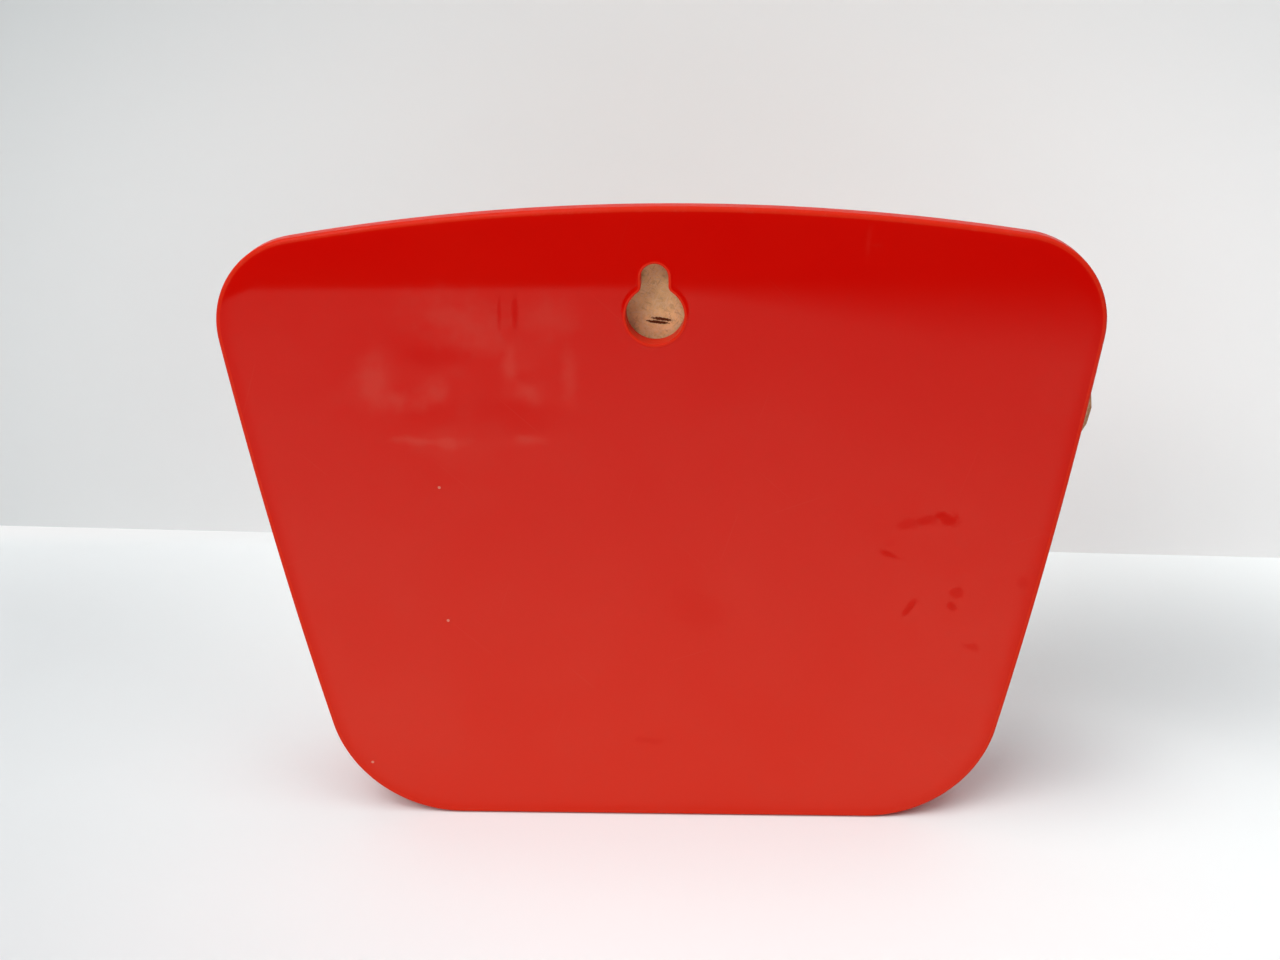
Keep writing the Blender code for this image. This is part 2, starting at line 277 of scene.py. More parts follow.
class Finishes(bpy.types.PropertyGroup):
    """Colours and gloss."""

    red: colour("Red", "Body colour of the plastic", (0.555, 0.0018, 0.0002))
    deep_red: colour("Deep red", "Dull touch marks", (0.47, 0.0020, 0.0003))
    # Painted light: a paler red towards the foot, where more light falls on the lower plate.
    red_painted_lit_foot: colour("Foot red", "Paler red of the body's foot", (0.670, 0.0160, 0.0040))
    orange_red: colour("Orange red", "Where light gathers in the plastic's edges", (0.70, 0.040, 0.012))
    haze: colour("Haze", "Dried wiping marks", (0.60, 0.10, 0.065))
    plastic_roughness: share("Plastic roughness", "Roughness of the polished plastic", 0.10)
    gloss: share("Gloss", "Weight of the plastic's clear skin", 0.66)
    dust: colour("Dust", "Dust specks", (0.72, 0.52, 0.38))
    paper: colour("Paper", "Body colour of the unbleached paper", (0.66, 0.385, 0.195))
    paper_light: colour("Light fibre", "Pale fibres", (0.84, 0.62, 0.38))
    paper_dark: colour("Dark fibre", "Dark fibres and bark specks", (0.30, 0.135, 0.055))
    # Painted light: the rearmost paper's paler tone behind the keyhole, where the plate shades it.
    keyhole_light: colour("Keyhole light", "Rearmost paper, lit by painted light behind the keyhole", (0.92, 0.61, 0.285))
    mark: colour("Mark", "Dark strokes on the rearmost paper", (0.110, 0.026, 0.004))
    table: colour("Table", "Pale card under the holder", (0.93, 0.96, 0.96))
    # Painted shade and shadow: the table's greyer side, and grey patches where the holder's shadow
    # falls.
    table_painted_shade: colour("Table shade", "Greyer side of the table", (0.66, 0.68, 0.69))
    backdrop: colour("Backdrop", "Pale card behind the holder", (0.97, 0.975, 0.975))
    # Painted shade: the backdrop's greyer side, and its greyer edges round a lit middle.
    backdrop_painted_shade: colour("Backdrop shade", "Greyer side of the backdrop", (0.55, 0.575, 0.58))
    # Painted light: the table glows in these tones for the camera, behind the backdrop and far away.
    near: colour("Near", "Tone of the table behind the backdrop", (0.90, 0.90, 0.90))
    far: colour("Far", "Tone that the table fades to far away", (0.74, 0.75, 0.76))


class StageSettings(bpy.types.PropertyGroup):
    """Camera, lights and backdrop."""

    camera: place("Camera", "Where the camera stands", (-0.0122, 0.3148, 0.2009))
    aim: place("Aim", "What the camera looks at", (0.00365, 0.0186, 0.0837))
    roll: angle("Roll", "Roll of the camera", -1.06)
    lens: bpy.props.FloatProperty(
        name="Lens", description="Focal length in millimetres", default=42.28, min=1.0, unit="CAMERA",
    )
    wall_behind: length("Wall behind", "Backdrop behind the origin", 0.1374)
    wall_turn: angle("Wall turn", "Turn of the backdrop about the upright axis", -3.1)
    key: place("Key light", "Where the key light stands", (0.55, 0.75, 1.00))
    key_power: watts("Key power", "Power of the key light", 12.0)
    side: place("Side light", "Where the side light stands", (-0.90, 0.50, 1.20))
    side_power: watts("Side power", "Power of the side light", 3.6)
    top: place("Top light", "Where the top light hangs", (0.0, 0.35, 1.50))
    top_power: watts("Top power", "Power of the top light", 10.5)
    table_reach: length("Table reach", "How far in front of the plate the lit table ends", 0.490)


# ---------------------------------------------------------------- outlines


def arc(centre, radius, start, end, steps):
    """Points and outward normals along an arc in the x-z plane, both ends included."""
    rail = []
    for step in range(steps + 1):
        turn = start + (end - start) * step / steps
        normal = Vector((math.cos(turn), math.sin(turn)))
        rail.append((centre + normal * radius, normal))
    return rail


def hollow_arc(centre, radius, start, end, steps):
    """The same for a fillet, whose normals point to its centre."""
    return [(point, -normal) for point, normal in arc(centre, radius, start, end, steps)]


def direction(start, end):
    """Angle of the line from one point to another."""
    return math.atan2(end.y - start.y, end.x - start.x)


def touching_centre(low, low_distance, top, top_distance):
    """The point to the left of low-top that lies at the two given distances from them."""
    span = top - low
    along = (low_distance ** 2 - top_distance ** 2 + span.length_squared) / (2 * span.length)
    across = math.sqrt(low_distance ** 2 - along ** 2)
    unit = span.normalized()
    return low + unit * along + Vector((-unit.y, unit.x)) * across


def fan_arcs(holder):
    """Centre, radius and end angles of the four arcs of the right half, from the base up."""
    low = Vector((holder.base_flat / 2, holder.low_corner))
    top = Vector((
        holder.width / 2 - holder.top_corner,
        holder.height - holder.crown_rise - holder.top_corner,
    ))
    drop = holder.height - top.y
    crown_radius = (top.x ** 2 + drop ** 2 - holder.top_corner ** 2) / (2 * holder.crown_rise)
    crown = Vector((0.0, holder.height - crown_radius))
    side = touching_centre(
        low, holder.side_radius - holder.low_corner, top, holder.side_radius - holder.top_corner,
    )
    side_start = direction(side, low)
    side_end = direction(side, top)
    crown_start = direction(crown, top)
    return {
        "low": (low, holder.low_corner, -math.pi / 2, side_start),
        "side": (side, holder.side_radius, side_start, side_end),
        "top": (top, holder.top_corner, side_end, crown_start),
        "crown": (crown, crown_radius, crown_start, math.pi / 2),
    }


def joined(*pieces):
    """Rails laid end to end, without doubled points."""
    rail = []
    for piece in pieces:
        for point, normal in piece:
            if not rail or (point - rail[-1][0]).length > SAME_POINT:
                rail.append((point, normal))
    return rail


def closed(rail):
    """The rail without its last point where that one is the first again."""
    if (rail[0][0] - rail[-1][0]).length < SAME_POINT:
        rail.pop()
    return rail


def mirrored(point):
    """The point or direction on the other side of the upright axis."""
    return Vector((-point.x, point.y))


def closed_with_mirror(half):
    """A half rail from the middle of the base to the top, closed with its mirror image."""
    other = [(mirrored(point), mirrored(normal)) for point, normal in reversed(half)]
    return closed(joined(half, other))


def holder_rail(holder):
    """The whole fan outline, anticlockwise from the middle of the base."""
    arcs = fan_arcs(holder)
    down = Vector((0.0, -1.0))
    base = []
    steps = BASE_STEPS // 4
    for step in range(steps):
        base.append((Vector((holder.base_flat / 2 * step / steps, 0.0)), down))
    return closed_with_mirror(joined(
        base,
        arc(*arcs["low"], CORNER_STEPS),
        arc(*arcs["side"], SIDE_STEPS),
        arc(*arcs["top"], CORNER_STEPS),
        arc(*arcs["crown"], CROWN_STEPS),
    ))


def keyhole_rail(holder):
    """A round head whose sides run through small fillets into a narrower slot."""
    head = Vector((0.0, holder.height - holder.key_drop))
    head_radius = holder.key_head / 2
    slot_radius = holder.key_slot / 2
    fillet = holder.key_fillet
    out = slot_radius + fillet
    up = math.sqrt((head_radius + fillet) ** 2 - out ** 2)
    lean = math.atan2(up, out)
    right = head + Vector((out, up))
    left = mirrored(right)
    return closed(joined(
        arc(head, head_radius, math.pi - lean, 2 * math.pi + lean, HOLE_STEPS),
        hollow_arc(right, fillet, math.pi + lean, math.pi, ROUND_STEPS),
        arc(head + Vector((0.0, holder.key_rise)), slot_radius, 0.0, math.pi, HOLE_STEPS // 2),
        hollow_arc(left, fillet, 0.0, -lean, ROUND_STEPS),
    ))


def pocket_ring(holder, inset, level):
    """The pocket's outline drawn in by inset, from its left top end round the base to its right one."""
    arcs = fan_arcs(holder)
    low, low_radius, low_start, low_end = arcs["low"]
    side, side_radius, side_start, _ = arcs["side"]
    side_end = math.asin((level - side.y) / (side_radius - inset))
    half = joined(
        arc(low, low_radius - inset, low_start, low_end, CORNER_STEPS),
        arc(side, side_radius - inset, side_start, side_end, SIDE_STEPS),
    )
    right = [point for point, _ in half]
    left = [mirrored(point) for point in reversed(right)]
    base = []
    for step in range(1, BASE_STEPS):
        across = -holder.base_flat / 2 + holder.base_flat * step / BASE_STEPS
        base.append(Vector((across, inset)))
    return left + base + right


# ---------------------------------------------------------------- mesh work


def finish_mesh(name, work, material, attributes=()):
    """Turn the worked mesh into a smooth object, with its per-point values."""
    bmesh.ops.recalc_face_normals(work, faces=work.faces)
    mesh = bpy.data.meshes.new(name)
    work.to_mesh(mesh)
    work.free()
    mesh.shade_smooth()
    for label, values in attributes:
        layer = mesh.attributes.new(label, "FLOAT", "POINT")
        layer.data.foreach_set("value", values)
    mesh.materials.append(material)
    piece = bpy.data.objects.new(name, mesh)
    bpy.context.scene.collection.objects.link(piece)
    return piece


def even_shading(piece):
    """Weight the shading by face size, so that flat faces stay flat beside rounded edges."""
    weighted = piece.modifiers.new("even_shading", "WEIGHTED_NORMAL")
    weighted.mode = "FACE_AREA"
    weighted.weight = 50
    weighted.keep_sharp = False


def skin(work, rows, ringed=False):
    """Quads between neighbouring rows of points."""
    for first, second in zip(rows, rows[1:]):
        count = len(first)
        for step in range(count if ringed else count - 1):
            after = (step + 1) % count
            work.faces.new((first[step], first[after], second[after], second[step]))


def swept_rings(work, rail, profile, edge_values):
    """One closed ring of points for each (outward offset, depth, edge value) of the profile."""
    rings = []
    for offset, depth, edge in profile:
        ring = []
        for point, normal in rail:
            spot = point + normal * offset
            ring.append(work.verts.new((spot.x, depth, spot.y)))
            edge_values.append(edge)
        rings.append(ring)
    skin(work, rings, ringed=True)
    return rings


def fill_face(work, outer, inner):
    """A flat face between an outer ring and the ring of a hole."""
    edges = []
    for ring in (outer, inner):
        for step, vert in enumerate(ring):
            edges.append(work.edges.get((vert, ring[(step + 1) % len(ring)])))
    bmesh.ops.triangle_fill(work, use_beauty=True, use_dissolve=False, edges=edges)


def quarter(radius):
    """(drawn in, fallen) pairs round a quarter turn, from the face over to the side."""
    pairs = []
    for step in range(1, ROUND_STEPS + 1):
        turn = math.pi / 2 * step / ROUND_STEPS
        pairs.append((radius * (1 - math.sin(turn)), radius * (1 - math.cos(turn))))
    return pairs


def across_thickness(wall_side, front_side, wall_y, front_y):
    """A profile's two sides, both given from the face outwards, joined half way through the plate."""
    return wall_side + [(0.0, (wall_y + front_y) / 2, 1.0)] + list(reversed(front_side))


def plate_profile(holder, wall_y, front_y):
    """Profile of the plate's rim, from the wall face over the edge to the front face."""
    radius = holder.edge_round
    band = holder.crown_band
    sides = []
    for face_y, inward in ((wall_y, -1.0), (front_y, 1.0)):
        side = []
        for step in range(RIM_BAND_STEPS + 1):
            reach = step / RIM_BAND_STEPS
            inset = band + (radius - band) * reach
            fall = holder.face_crown * reach * reach
            side.append((-inset, face_y + inward * fall, reach ** 1.5))
        for inset, fall in quarter(radius):
            side.append((-inset, face_y + inward * (holder.face_crown + fall), 1.0))
        sides.append(side)
    return across_thickness(*sides, wall_y, front_y)


def keyhole_profile(holder, wall_y, front_y):
    """Profile of the keyhole's edge, with its moulded lip on the wall face."""
    radius = holder.key_round
    lip = holder.key_lip
    wall_side = [(outward, wall_y + lip * rise, edge) for outward, rise, edge in LIP_STATIONS]
    wall_side.append((radius, wall_y + lip, 1.0))
    front_side = [(outward, front_y, edge) for outward, edge in HIDDEN_STATIONS]
    front_side.append((radius, front_y, 1.0))
    for inset, fall in quarter(radius):
        wall_side.append((inset, wall_y + lip - fall, 1.0))
        front_side.append((inset, front_y + fall, 1.0))
    return across_thickness(wall_side, front_side, wall_y, front_y)


def make_back_plate(holder, material):
    """The thick fan-shaped plate, with crowned faces, rounded edges and a keyhole."""
    faces_y = (PLATE_HIGH.y, PLATE_LOW.y)
    work = bmesh.new()
    edge_values = []
    rim = swept_rings(work, holder_rail(holder), plate_profile(holder, *faces_y), edge_values)
    hole = swept_rings(work, keyhole_rail(holder), keyhole_profile(holder, *faces_y), edge_values)
    fill_face(work, rim[0], hole[0])
    fill_face(work, rim[-1], hole[-1])
    plate = finish_mesh("plate_shell", work, material, [("edge", edge_values)])
    even_shading(plate)
    return plate


def pocket_rows(work, holder, pocket, profile):
    """Points of one skin of the pocket: its swept rings, and the rows across its front wall."""
    rings = []
    level = pocket.height - pocket.rim_round
    for inset, depth in profile:
        ring = []
        for point in pocket_ring(holder, inset, level):
            ring.append(work.verts.new((point.x, depth, point.y)))
        rings.append(ring)
    skin(work, rings)
    last = rings[-1]
    depth = profile[-1][1]
    rows = []
    side_count = (len(last) - BASE_STEPS - 1) // 2
    for row in range(side_count):
        left, right = last[row], last[len(last) - 1 - row]
        points = [left]
        for step in range(1, BASE_STEPS):
            reach = step / BASE_STEPS
            across = left.co.x + (right.co.x - left.co.x) * reach
            points.append(work.verts.new((across, depth, left.co.z)))
        rows.append(points + [right])
    rows.append(last[side_count:side_count + BASE_STEPS + 1])
    skin(work, rows)
    return rings, rows


def skin_profile(inset, back_y, face_y, radius, wall_steps):
    """(inset, depth) pairs of a skin's side wall, from its back edge round into its face."""
    bend = face_y + radius
    profile = []
    for step in range(wall_steps + 1):
        profile.append((inset, back_y + (bend - back_y) * step / wall_steps))
    for step in range(1, ROUND_STEPS + 2):
        turn = math.pi / 2 * step / (ROUND_STEPS + 1)
        profile.append((inset + radius * (1 - math.cos(turn)), bend - radius * math.sin(turn)))
    return profile


def dip_at(pocket, across):
    """Depth and slope of the finger dip at a distance from the middle."""
    half = pocket.dip_width / 2
    if abs(across) >= half:
        return 0.0, 0.0
    turn = math.pi * across / half
    depth = pocket.dip_depth * (1 + math.cos(turn)) / 2
    slope = pocket.dip_depth * math.pi / half * math.sin(turn) / 2
    return depth, slope


def sink_dip(pocket, rows):
    """Draw the upper front wall down into the finger dip."""
    top = pocket.height - pocket.rim_round
    start = top - pocket.dip_depth - pocket.dip_fade
    for row in rows:
        for vert in row:
            depth, slope = dip_at(pocket, vert.co.x)
            reach = max(0.0, min(1.0, (vert.co.z - start) / (top - start)))
            ease = reach * reach * (3 - 2 * reach)
            rim = pocket.rim_round * (math.sqrt(1 + slope * slope) - 1)
            vert.co.z -= (depth + rim) * ease


def skin_edge(pocket, rings, rows):
    """The skin's free edge as a closed loop of (point, outward direction)."""
    loop = []
    back = rings[0]
    for step, vert in enumerate(back):
        corner = step in (0, len(back) - 1)
        loop.append((vert, Vector((0.0, 1.0, 1.0 if corner else 0.0))))
    up = Vector((0.0, 0.0, 1.0))
    for ring in rings[1:]:
        loop.append((ring[-1], up))
    for vert in reversed(rows[0][1:-1]):
        _, slope = dip_at(pocket, vert.co.x)
        loop.append((vert, Vector((-slope, 0.0, 1.0)).normalized()))
    for ring in reversed(rings[1:]):
        loop.append((ring[0], up))
    return loop


def close_edge(work, pocket, outer, inner):
    """Join the two skins with a rounded free edge."""
    radius = pocket.rim_round
    rises = []
    for step in range(1, ROUND_STEPS + 1):
        turn = math.pi / 2 * step / ROUND_STEPS
        rises.append((radius * (1 - math.cos(turn)), radius * math.sin(turn)))
    outer_spots, inner_spots = [], []
    for (near, way), (far, _) in zip(outer, inner):
        across = (far.co - near.co).normalized()
        outer_spots.append([near.co + across * inward + way * outward for inward, outward in rises])
        inner_spots.append([far.co - across * inward + way * outward for inward, outward in rises])
    rows = [[vert for vert, _ in outer]]
    for step in range(ROUND_STEPS):
        rows.append([work.verts.new(spots[step]) for spots in outer_spots])
    for step in reversed(range(ROUND_STEPS)):
        rows.append([work.verts.new(spots[step]) for spots in inner_spots])
    rows.append([vert for vert, _ in inner])
    skin(work, rows, ringed=True)


def make_front_pocket(holder, pocket, material):
    """The moulded pocket: two skins, joined by a rounded edge, with a finger dip."""
    back_y = POCKET_HIGH.y - pocket.rim_round
    # Both skins need as many rings, and the outer one has an extra ring on its face.
    outer_profile = skin_profile(0.0, back_y, POCKET_LOW.y, pocket.front_round, 6)
    outer_profile.append((pocket.wall + pocket.inner_round, POCKET_LOW.y))
    inner_y = POCKET_LOW.y + pocket.wall
    inner_profile = skin_profile(pocket.wall, back_y, inner_y, pocket.inner_round, 7)
    work = bmesh.new()
    outer_rings, outer_rows = pocket_rows(work, holder, pocket, outer_profile)
    inner_rings, inner_rows = pocket_rows(work, holder, pocket, inner_profile)
    sink_dip(pocket, outer_rows)
    sink_dip(pocket, inner_rows)
    outer_edge = skin_edge(pocket, outer_rings, outer_rows)
    inner_edge = skin_edge(pocket, inner_rings, inner_rows)
    skin_count = len(work.verts)
    close_edge(work, pocket, outer_edge, inner_edge)
    edge_values = [0.0] * skin_count + [1.0] * (len(work.verts) - skin_count)
    piece = finish_mesh("pocket_shell", work, material, [("edge", edge_values)])
    even_shading(piece)
    return piece


# ---------------------------------------------------------------- papers


def paper_corners(holder, paper):
    """Foot, shoulder rounding and arch of a flat paper, in its own plane."""
    height = holder.height - paper.below_crown
    rise = paper.arch_rise
    half_spread = holder.width / 2 + paper.overhang
    arch_radius = (rise ** 2 + half_spread ** 2) / (2 * rise)
    arch = Vector((0.0, height - arch_radius))
    foot = Vector((holder.base_flat / 2 - paper.foot_inset, 0.0))
    shoulder = Vector((half_spread, height - rise))
    side = (shoulder - foot).normalized()
    inward = Vector((-side.y, side.x))
    start = foot + inward * paper.shoulder_round - arch
    reach = arch_radius - paper.shoulder_round
    half_b = start.dot(side)
    travel = -half_b + math.sqrt(half_b ** 2 - start.length_squared + reach ** 2)
    centre = arch + start + side * travel
    round_start = math.atan2(-inward.y, -inward.x)
    round_end = direction(arch, centre)
    return foot, centre, round_start, round_end, arch, arch_radius


def spread_along(points, stations):
    """Points at the given shares of a polyline's length."""
    lengths = [0.0]
    for first, second in zip(points, points[1:]):
        lengths.append(lengths[-1] + (second - first).length)
    spots = []
    index = 0
    for station in stations:
        goal = station * lengths[-1]
        while index < len(points) - 2 and lengths[index + 1] < goal:
            index += 1
        span = lengths[index + 1] - lengths[index]
        mix = 0.0 if span == 0 else (goal - lengths[index]) / span
        spots.append(points[index].lerp(points[index + 1], max(0.0, min(1.0, mix))))
    return spots


def seam_stations(count, near, both):
    """Shares from 0 to 1, closer together within a seam's width of the ends."""
    seam = [near * step / 4 for step in range(4)]
    inner = count - (8 if both else 4)
    last = 1.0 - near if both else 1.0
    middle = [near + (last - near) * step / inner for step in range(inner + 1)]
    tail = [1.0 - near * step / 4 for step in (3, 2, 1, 0)] if both else []
    return seam + middle + tail


def paper_grid(holder, paper):
    """Points of a flat paper in rows from the foot up, as a smooth patch between its four edges."""
    foot, centre, round_start, round_end, arch, arch_radius = paper_corners(holder, paper)
    middle = (round_start + round_end) / 2
    radius = paper.shoulder_round
    right = [foot] + [p for p, _ in arc(centre, radius, round_start, middle, 12)]
    half_top = [p for p, _ in arc(centre, radius, middle, round_end, 12)]
    half_top += [p for p, _ in arc(arch, arch_radius, round_end, math.pi / 2, 40)][1:]
    top = [mirrored(point) for point in half_top] + list(reversed(half_top))[1:]
    width_share = paper.seam_width / (2 * foot.x) * FOOT_SHARE
    across = seam_stations(PAPER_COLUMNS, width_share, True)
    height_share = paper.seam_width / (arch.y + arch_radius)
    up = seam_stations(PAPER_ROWS, height_share, False)
    right_edge = spread_along(right, up)
    top_edge = spread_along(top, across)
    rows = []
    for row, v in enumerate(up):
        right_spot = right_edge[row]
        left_spot = mirrored(right_spot)
        points = []
        for column, u in enumerate(across):
            bottom = Vector((foot.x * (2 * u - 1), 0.0))
            ruled = bottom * (1 - v) + top_edge[column] * v
            sides = left_spot * (1 - u) + right_spot * u
            high_pair = top_edge[0] * (1 - u) + top_edge[-1] * u
            points.append(ruled + sides - (bottom * (1 - v) + high_pair * v))
        rows.append(points)
    return rows, across, up


def paper_place(paper, number, count):
    """Lean and foot position of one paper, counted from the plate."""
    slipped = (1 - number / (count - 1)) ** 2
    steady = 1 - slipped
    lean = paper.rear_lean * slipped + paper.front_wobble * steady * math.sin(LEAN_PHASE * number)
    slip = paper.rear_slip * slipped + paper.front_slip * steady * math.sin(SLIP_PHASE * number)
    return lean, slip


def pressed_share(distance, width):
    """How far the plies are pressed together: full on a seam, and none a little past its width."""
    return max(0.0, min(1.0, 1.6 - distance / width * 1.4))


def close_pouch(work, outer, inner):
    """Join a paper's faces round its sides and foot, and at its mouth to the plies of the slit."""
    borders = []
    for face in outer:
        border = [row[0] for row in reversed(face)] + face[0][1:]
        border += [row[-1] for row in face[1:]]
        borders.append(border)
    skin(work, borders)
    for ply in inner:
        skin(work, ply)
    for face, ply in zip(outer, inner):
        skin(work, [face[-1], ply[-1]])
    # The short ends of the mouth close onto the plies' shared side points.
    for end in (0, -1):
        work.faces.new((outer[0][-1][end], outer[1][-1][end], inner[0][-1][end]))


def make_paper(name, number, grid, across, up, paper, foot_half, material):
    """One folded two-ply paper, crimped along its foot and one side, with a slit at its mouth."""
    count = len(PAPER_NAMES)
    low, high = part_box(name)
    middle_y = (low.y + high.y) / 2
    lean, slip = paper_place(paper, number, count)
    turn = Matrix.Rotation(-lean, 3, "Y")
    foot_lift = foot_half * abs(math.sin(lean))
    shift = Vector((slip, middle_y, paper.stand_height + foot_lift))
    front = number == count - 1
    rear = number == 0
    full = paper.thickness / 2
    pressed = paper.seam_thickness / 2
    last = len(across) - 1
    top_row = len(up) - 1
    slit_start = top_row - SLIT_ROWS
    height = grid[-1][len(across) // 2].y
    phase = RIPPLE_PHASE * number
    tone = math.sin(number * TONE_PHASE) * 0.5 + 0.5
    work = bmesh.new()
    values = {"seam": [], "seam_run": [], "tone": [], "rim": []}

    def middle_depth(spot):
        """Where the middle between the plies runs. The rearmost paper lies flat on the plate."""
        lift = spot.y / height
        depth = 0.0
        if not rear:
            ripple = sum(part * math.sin(spot.x * rate + lag * phase) for rate, lag, part in RIPPLES)
            depth = paper.wave * lift ** 2 * ripple
        if front:
            depth -= paper.front_curl * lift ** 3 * (0.75 + 0.25 * math.cos(spot.x * CURL_RATE))
        return depth

    def point(row, column, side, inner):
        """One point of a face, on the front (-1) or the back (1), outside or within the slit."""
        spot = grid[row][column]
        right_distance = (grid[row][-1] - spot).length
        left_distance = (grid[row][0] - spot).length
        foot_seam = pressed_share(spot.y, paper.seam_width)
        side_seam = pressed_share(right_distance, paper.seam_width)
        seam = max(foot_seam, side_seam)
        open_up = max(0.0, (row - slit_start) / SLIT_ROWS)
        bulge = 4 * across[column] * (1 - across[column])
        if inner:
            off_middle = (full - paper.ply) * min(1.0, 1.5 * open_up) * min(1.0, 2.5 * bulge)
        else:
            fold = max(0.0, 1.0 - left_distance / FOLD_BAND)
            off_middle = full + (pressed - full) * seam
            off_middle += (pressed - off_middle) * fold * 0.6
        depth = middle_depth(spot) + side * off_middle
        if front and side < 0:
            depth -= FRONT_GAPE * open_up ** 1.5 * bulge
        values["seam"].append(seam)
        values["seam_run"].append(spot.x if foot_seam >= side_seam else 0.3 + spot.y)
        values["tone"].append(tone)
        values["rim"].append(max(0.0, 1.0 - min(left_distance, right_distance) / SIDE_SHADE_BAND))
        return work.verts.new(turn @ Vector((spot.x, depth, spot.y)) + shift)

    outer = []
    for side in (-1, 1):
        face = []
        for row in range(top_row + 1):
            face.append([point(row, column, side, False) for column in range(last + 1)])
        skin(work, face)
        outer.append(face)
    # The slit between the plies ends in a shared line at its bottom and sides.
    inner = ([], [])
    for row in range(slit_start, top_row + 1):
        front_row, back_row = [], []
        for column in range(last + 1):
            shared = row == slit_start or column in (0, last)
            first = point(row, column, -1, True)
            front_row.append(first)
            back_row.append(first if shared else point(row, column, 1, True))
        inner[0].append(front_row)
        inner[1].append(back_row)
    close_pouch(work, outer, inner)
    sheet = finish_mesh(name + "_pouch", work, material, list(values.items()))
    sheet.data.set_sharp_from_angle(angle=math.radians(50))
    return sheet


# ---------------------------------------------------------------- nodes


class Board:
    """A node tree that is filled in from left to right."""

    def __init__(self, tree):
        self.tree = tree
        self.column = 0

    def node(self, kind, **settings):
        """A new node with its settings."""
        made = self.tree.nodes.new(kind)
        self.column += 1
        made.location = (180 * (self.column % 12), -190 * (self.column // 12))
        for key, value in settings.items():
            setattr(made, key, value)
        return made

    def feed(self, socket, value):
        """Link another node's output to a socket, or set the socket's own value."""
        if isinstance(value, bpy.types.NodeSocket):
            self.tree.links.new(value, socket)
        elif value is not None:
            socket.default_value = value

    def math(self, operation, first, second=None, third=None, clamp=False):
        made = self.node("ShaderNodeMath", operation=operation, use_clamp=clamp)
        for socket, value in zip(made.inputs, (first, second, third)):
            self.feed(socket, value)
        return made.outputs[0]

    def vector_math(self, operation, first, second=None):
        made = self.node("ShaderNodeVectorMath", operation=operation)
        self.feed(made.inputs[0], first)
        self.feed(made.inputs[1], second)
        return made.outputs["Value" if operation in ("LENGTH", "DISTANCE", "DOT_PRODUCT") else "Vector"]

    def ramp(self, value, low, high, to_low=0.0, to_high=1.0):
        """A smooth step from one value to another."""
        made = self.node("ShaderNodeMapRange", interpolation_type="SMOOTHSTEP", clamp=True)
        for socket, entry in zip(made.inputs, (value, low, high, to_low, to_high)):
            self.feed(socket, entry)
        return made.outputs[0]

    def turned(self, vector, rotation, scale):
        """The vector turned first, and then scaled."""
        made = self.node("ShaderNodeMapping", vector_type="TEXTURE")
        self.feed(made.inputs["Vector"], vector)
        made.inputs["Rotation"].default_value = rotation
        made.inputs["Scale"].default_value = tuple(1.0 / entry for entry in scale)
        return made.outputs[0]

    def noise(self, vector, scale, detail=2.0, roughness=0.5, distortion=0.0):
        """Soft random values round one half."""
        made = self.node("ShaderNodeTexNoise", noise_dimensions="3D")
        self.feed(made.inputs["Vector"], vector)
        self.feed(made.inputs["Scale"], scale)
        made.inputs["Detail"].default_value = detail
        made.inputs["Roughness"].default_value = roughness
        made.inputs["Distortion"].default_value = distortion
        return made.outputs["Fac"]

    def mixed(self, factor, first, second):
        """A colour between two others."""
        made = self.node("ShaderNodeMix", data_type="RGBA")
        self.feed(made.inputs[0], factor)
        self.feed(made.inputs[6], first)
        self.feed(made.inputs[7], second)
        return made.outputs[2]

    def greatest(self, values):
        """The greatest of several values at each point."""
        most = values[0]
        for value in values[1:]:
            most = self.math("MAXIMUM", most, value)
        return most

    def total(self, start, *terms, clamp=False):
        """The start with each weighted value added, and the whole held between nought and one."""
        for number, (value, weight) in enumerate(terms, 1):
            held = clamp and number == len(terms)
            start = self.math("MULTIPLY_ADD", value, weight, start, clamp=held)
        return start

    def layered(self, body, *layers):
        """The body colour with tints laid over it, each as far as its mask and strength say."""
        for mask, strength, tint in layers:
            body = self.mixed(self.math("MULTIPLY", mask, strength), body, solid(tint))
        return body

    def oval(self, position, centre, reach):
        """Distance from a centre, in shares of the reach."""
        away = self.vector_math("SUBTRACT", position, centre)
        return self.vector_math("LENGTH", self.vector_math("DIVIDE", away, reach))

    def split(self, vector):
        """The three parts of a vector."""
        made = self.node("ShaderNodeSeparateXYZ")
        self.feed(made.inputs[0], vector)
        return made.outputs

    def attribute(self, label):
        """One of the mesh's own per-point values."""
        return self.node("ShaderNodeAttribute", attribute_name=label).outputs["Fac"]

    def group(self, tree, **inputs):
        """A shader group with its inputs fed by name."""
        made = self.node("ShaderNodeGroup")
        made.node_tree = tree
        for key, value in inputs.items():
            self.feed(made.inputs[key.replace("_", " ")], value)
        return made

    def coordinates(self):
        """Position on the body, in metres."""
        return self.node("ShaderNodeTexCoord").outputs["Object"]


def new_group(name, inputs, outputs):
    """An empty shader group with named sockets, its board, its inputs and its output node."""
    tree = bpy.data.node_groups.new(name, "ShaderNodeTree")
    for label, kind, default in inputs:
        socket = tree.interface.new_socket(name=label, in_out="INPUT", socket_type=kind)
        if default is not None:
            socket.default_value = default
    for label, kind in outputs:
        tree.interface.new_socket(name=label, in_out="OUTPUT", socket_type=kind)
    board = Board(tree)
    entry = board.node("NodeGroupInput")
    leave = board.node("NodeGroupOutput")
    return tree, board, entry.outputs, leave.inputs


NUMBER = "NodeSocketFloat"
VECTOR = "NodeSocketVector"


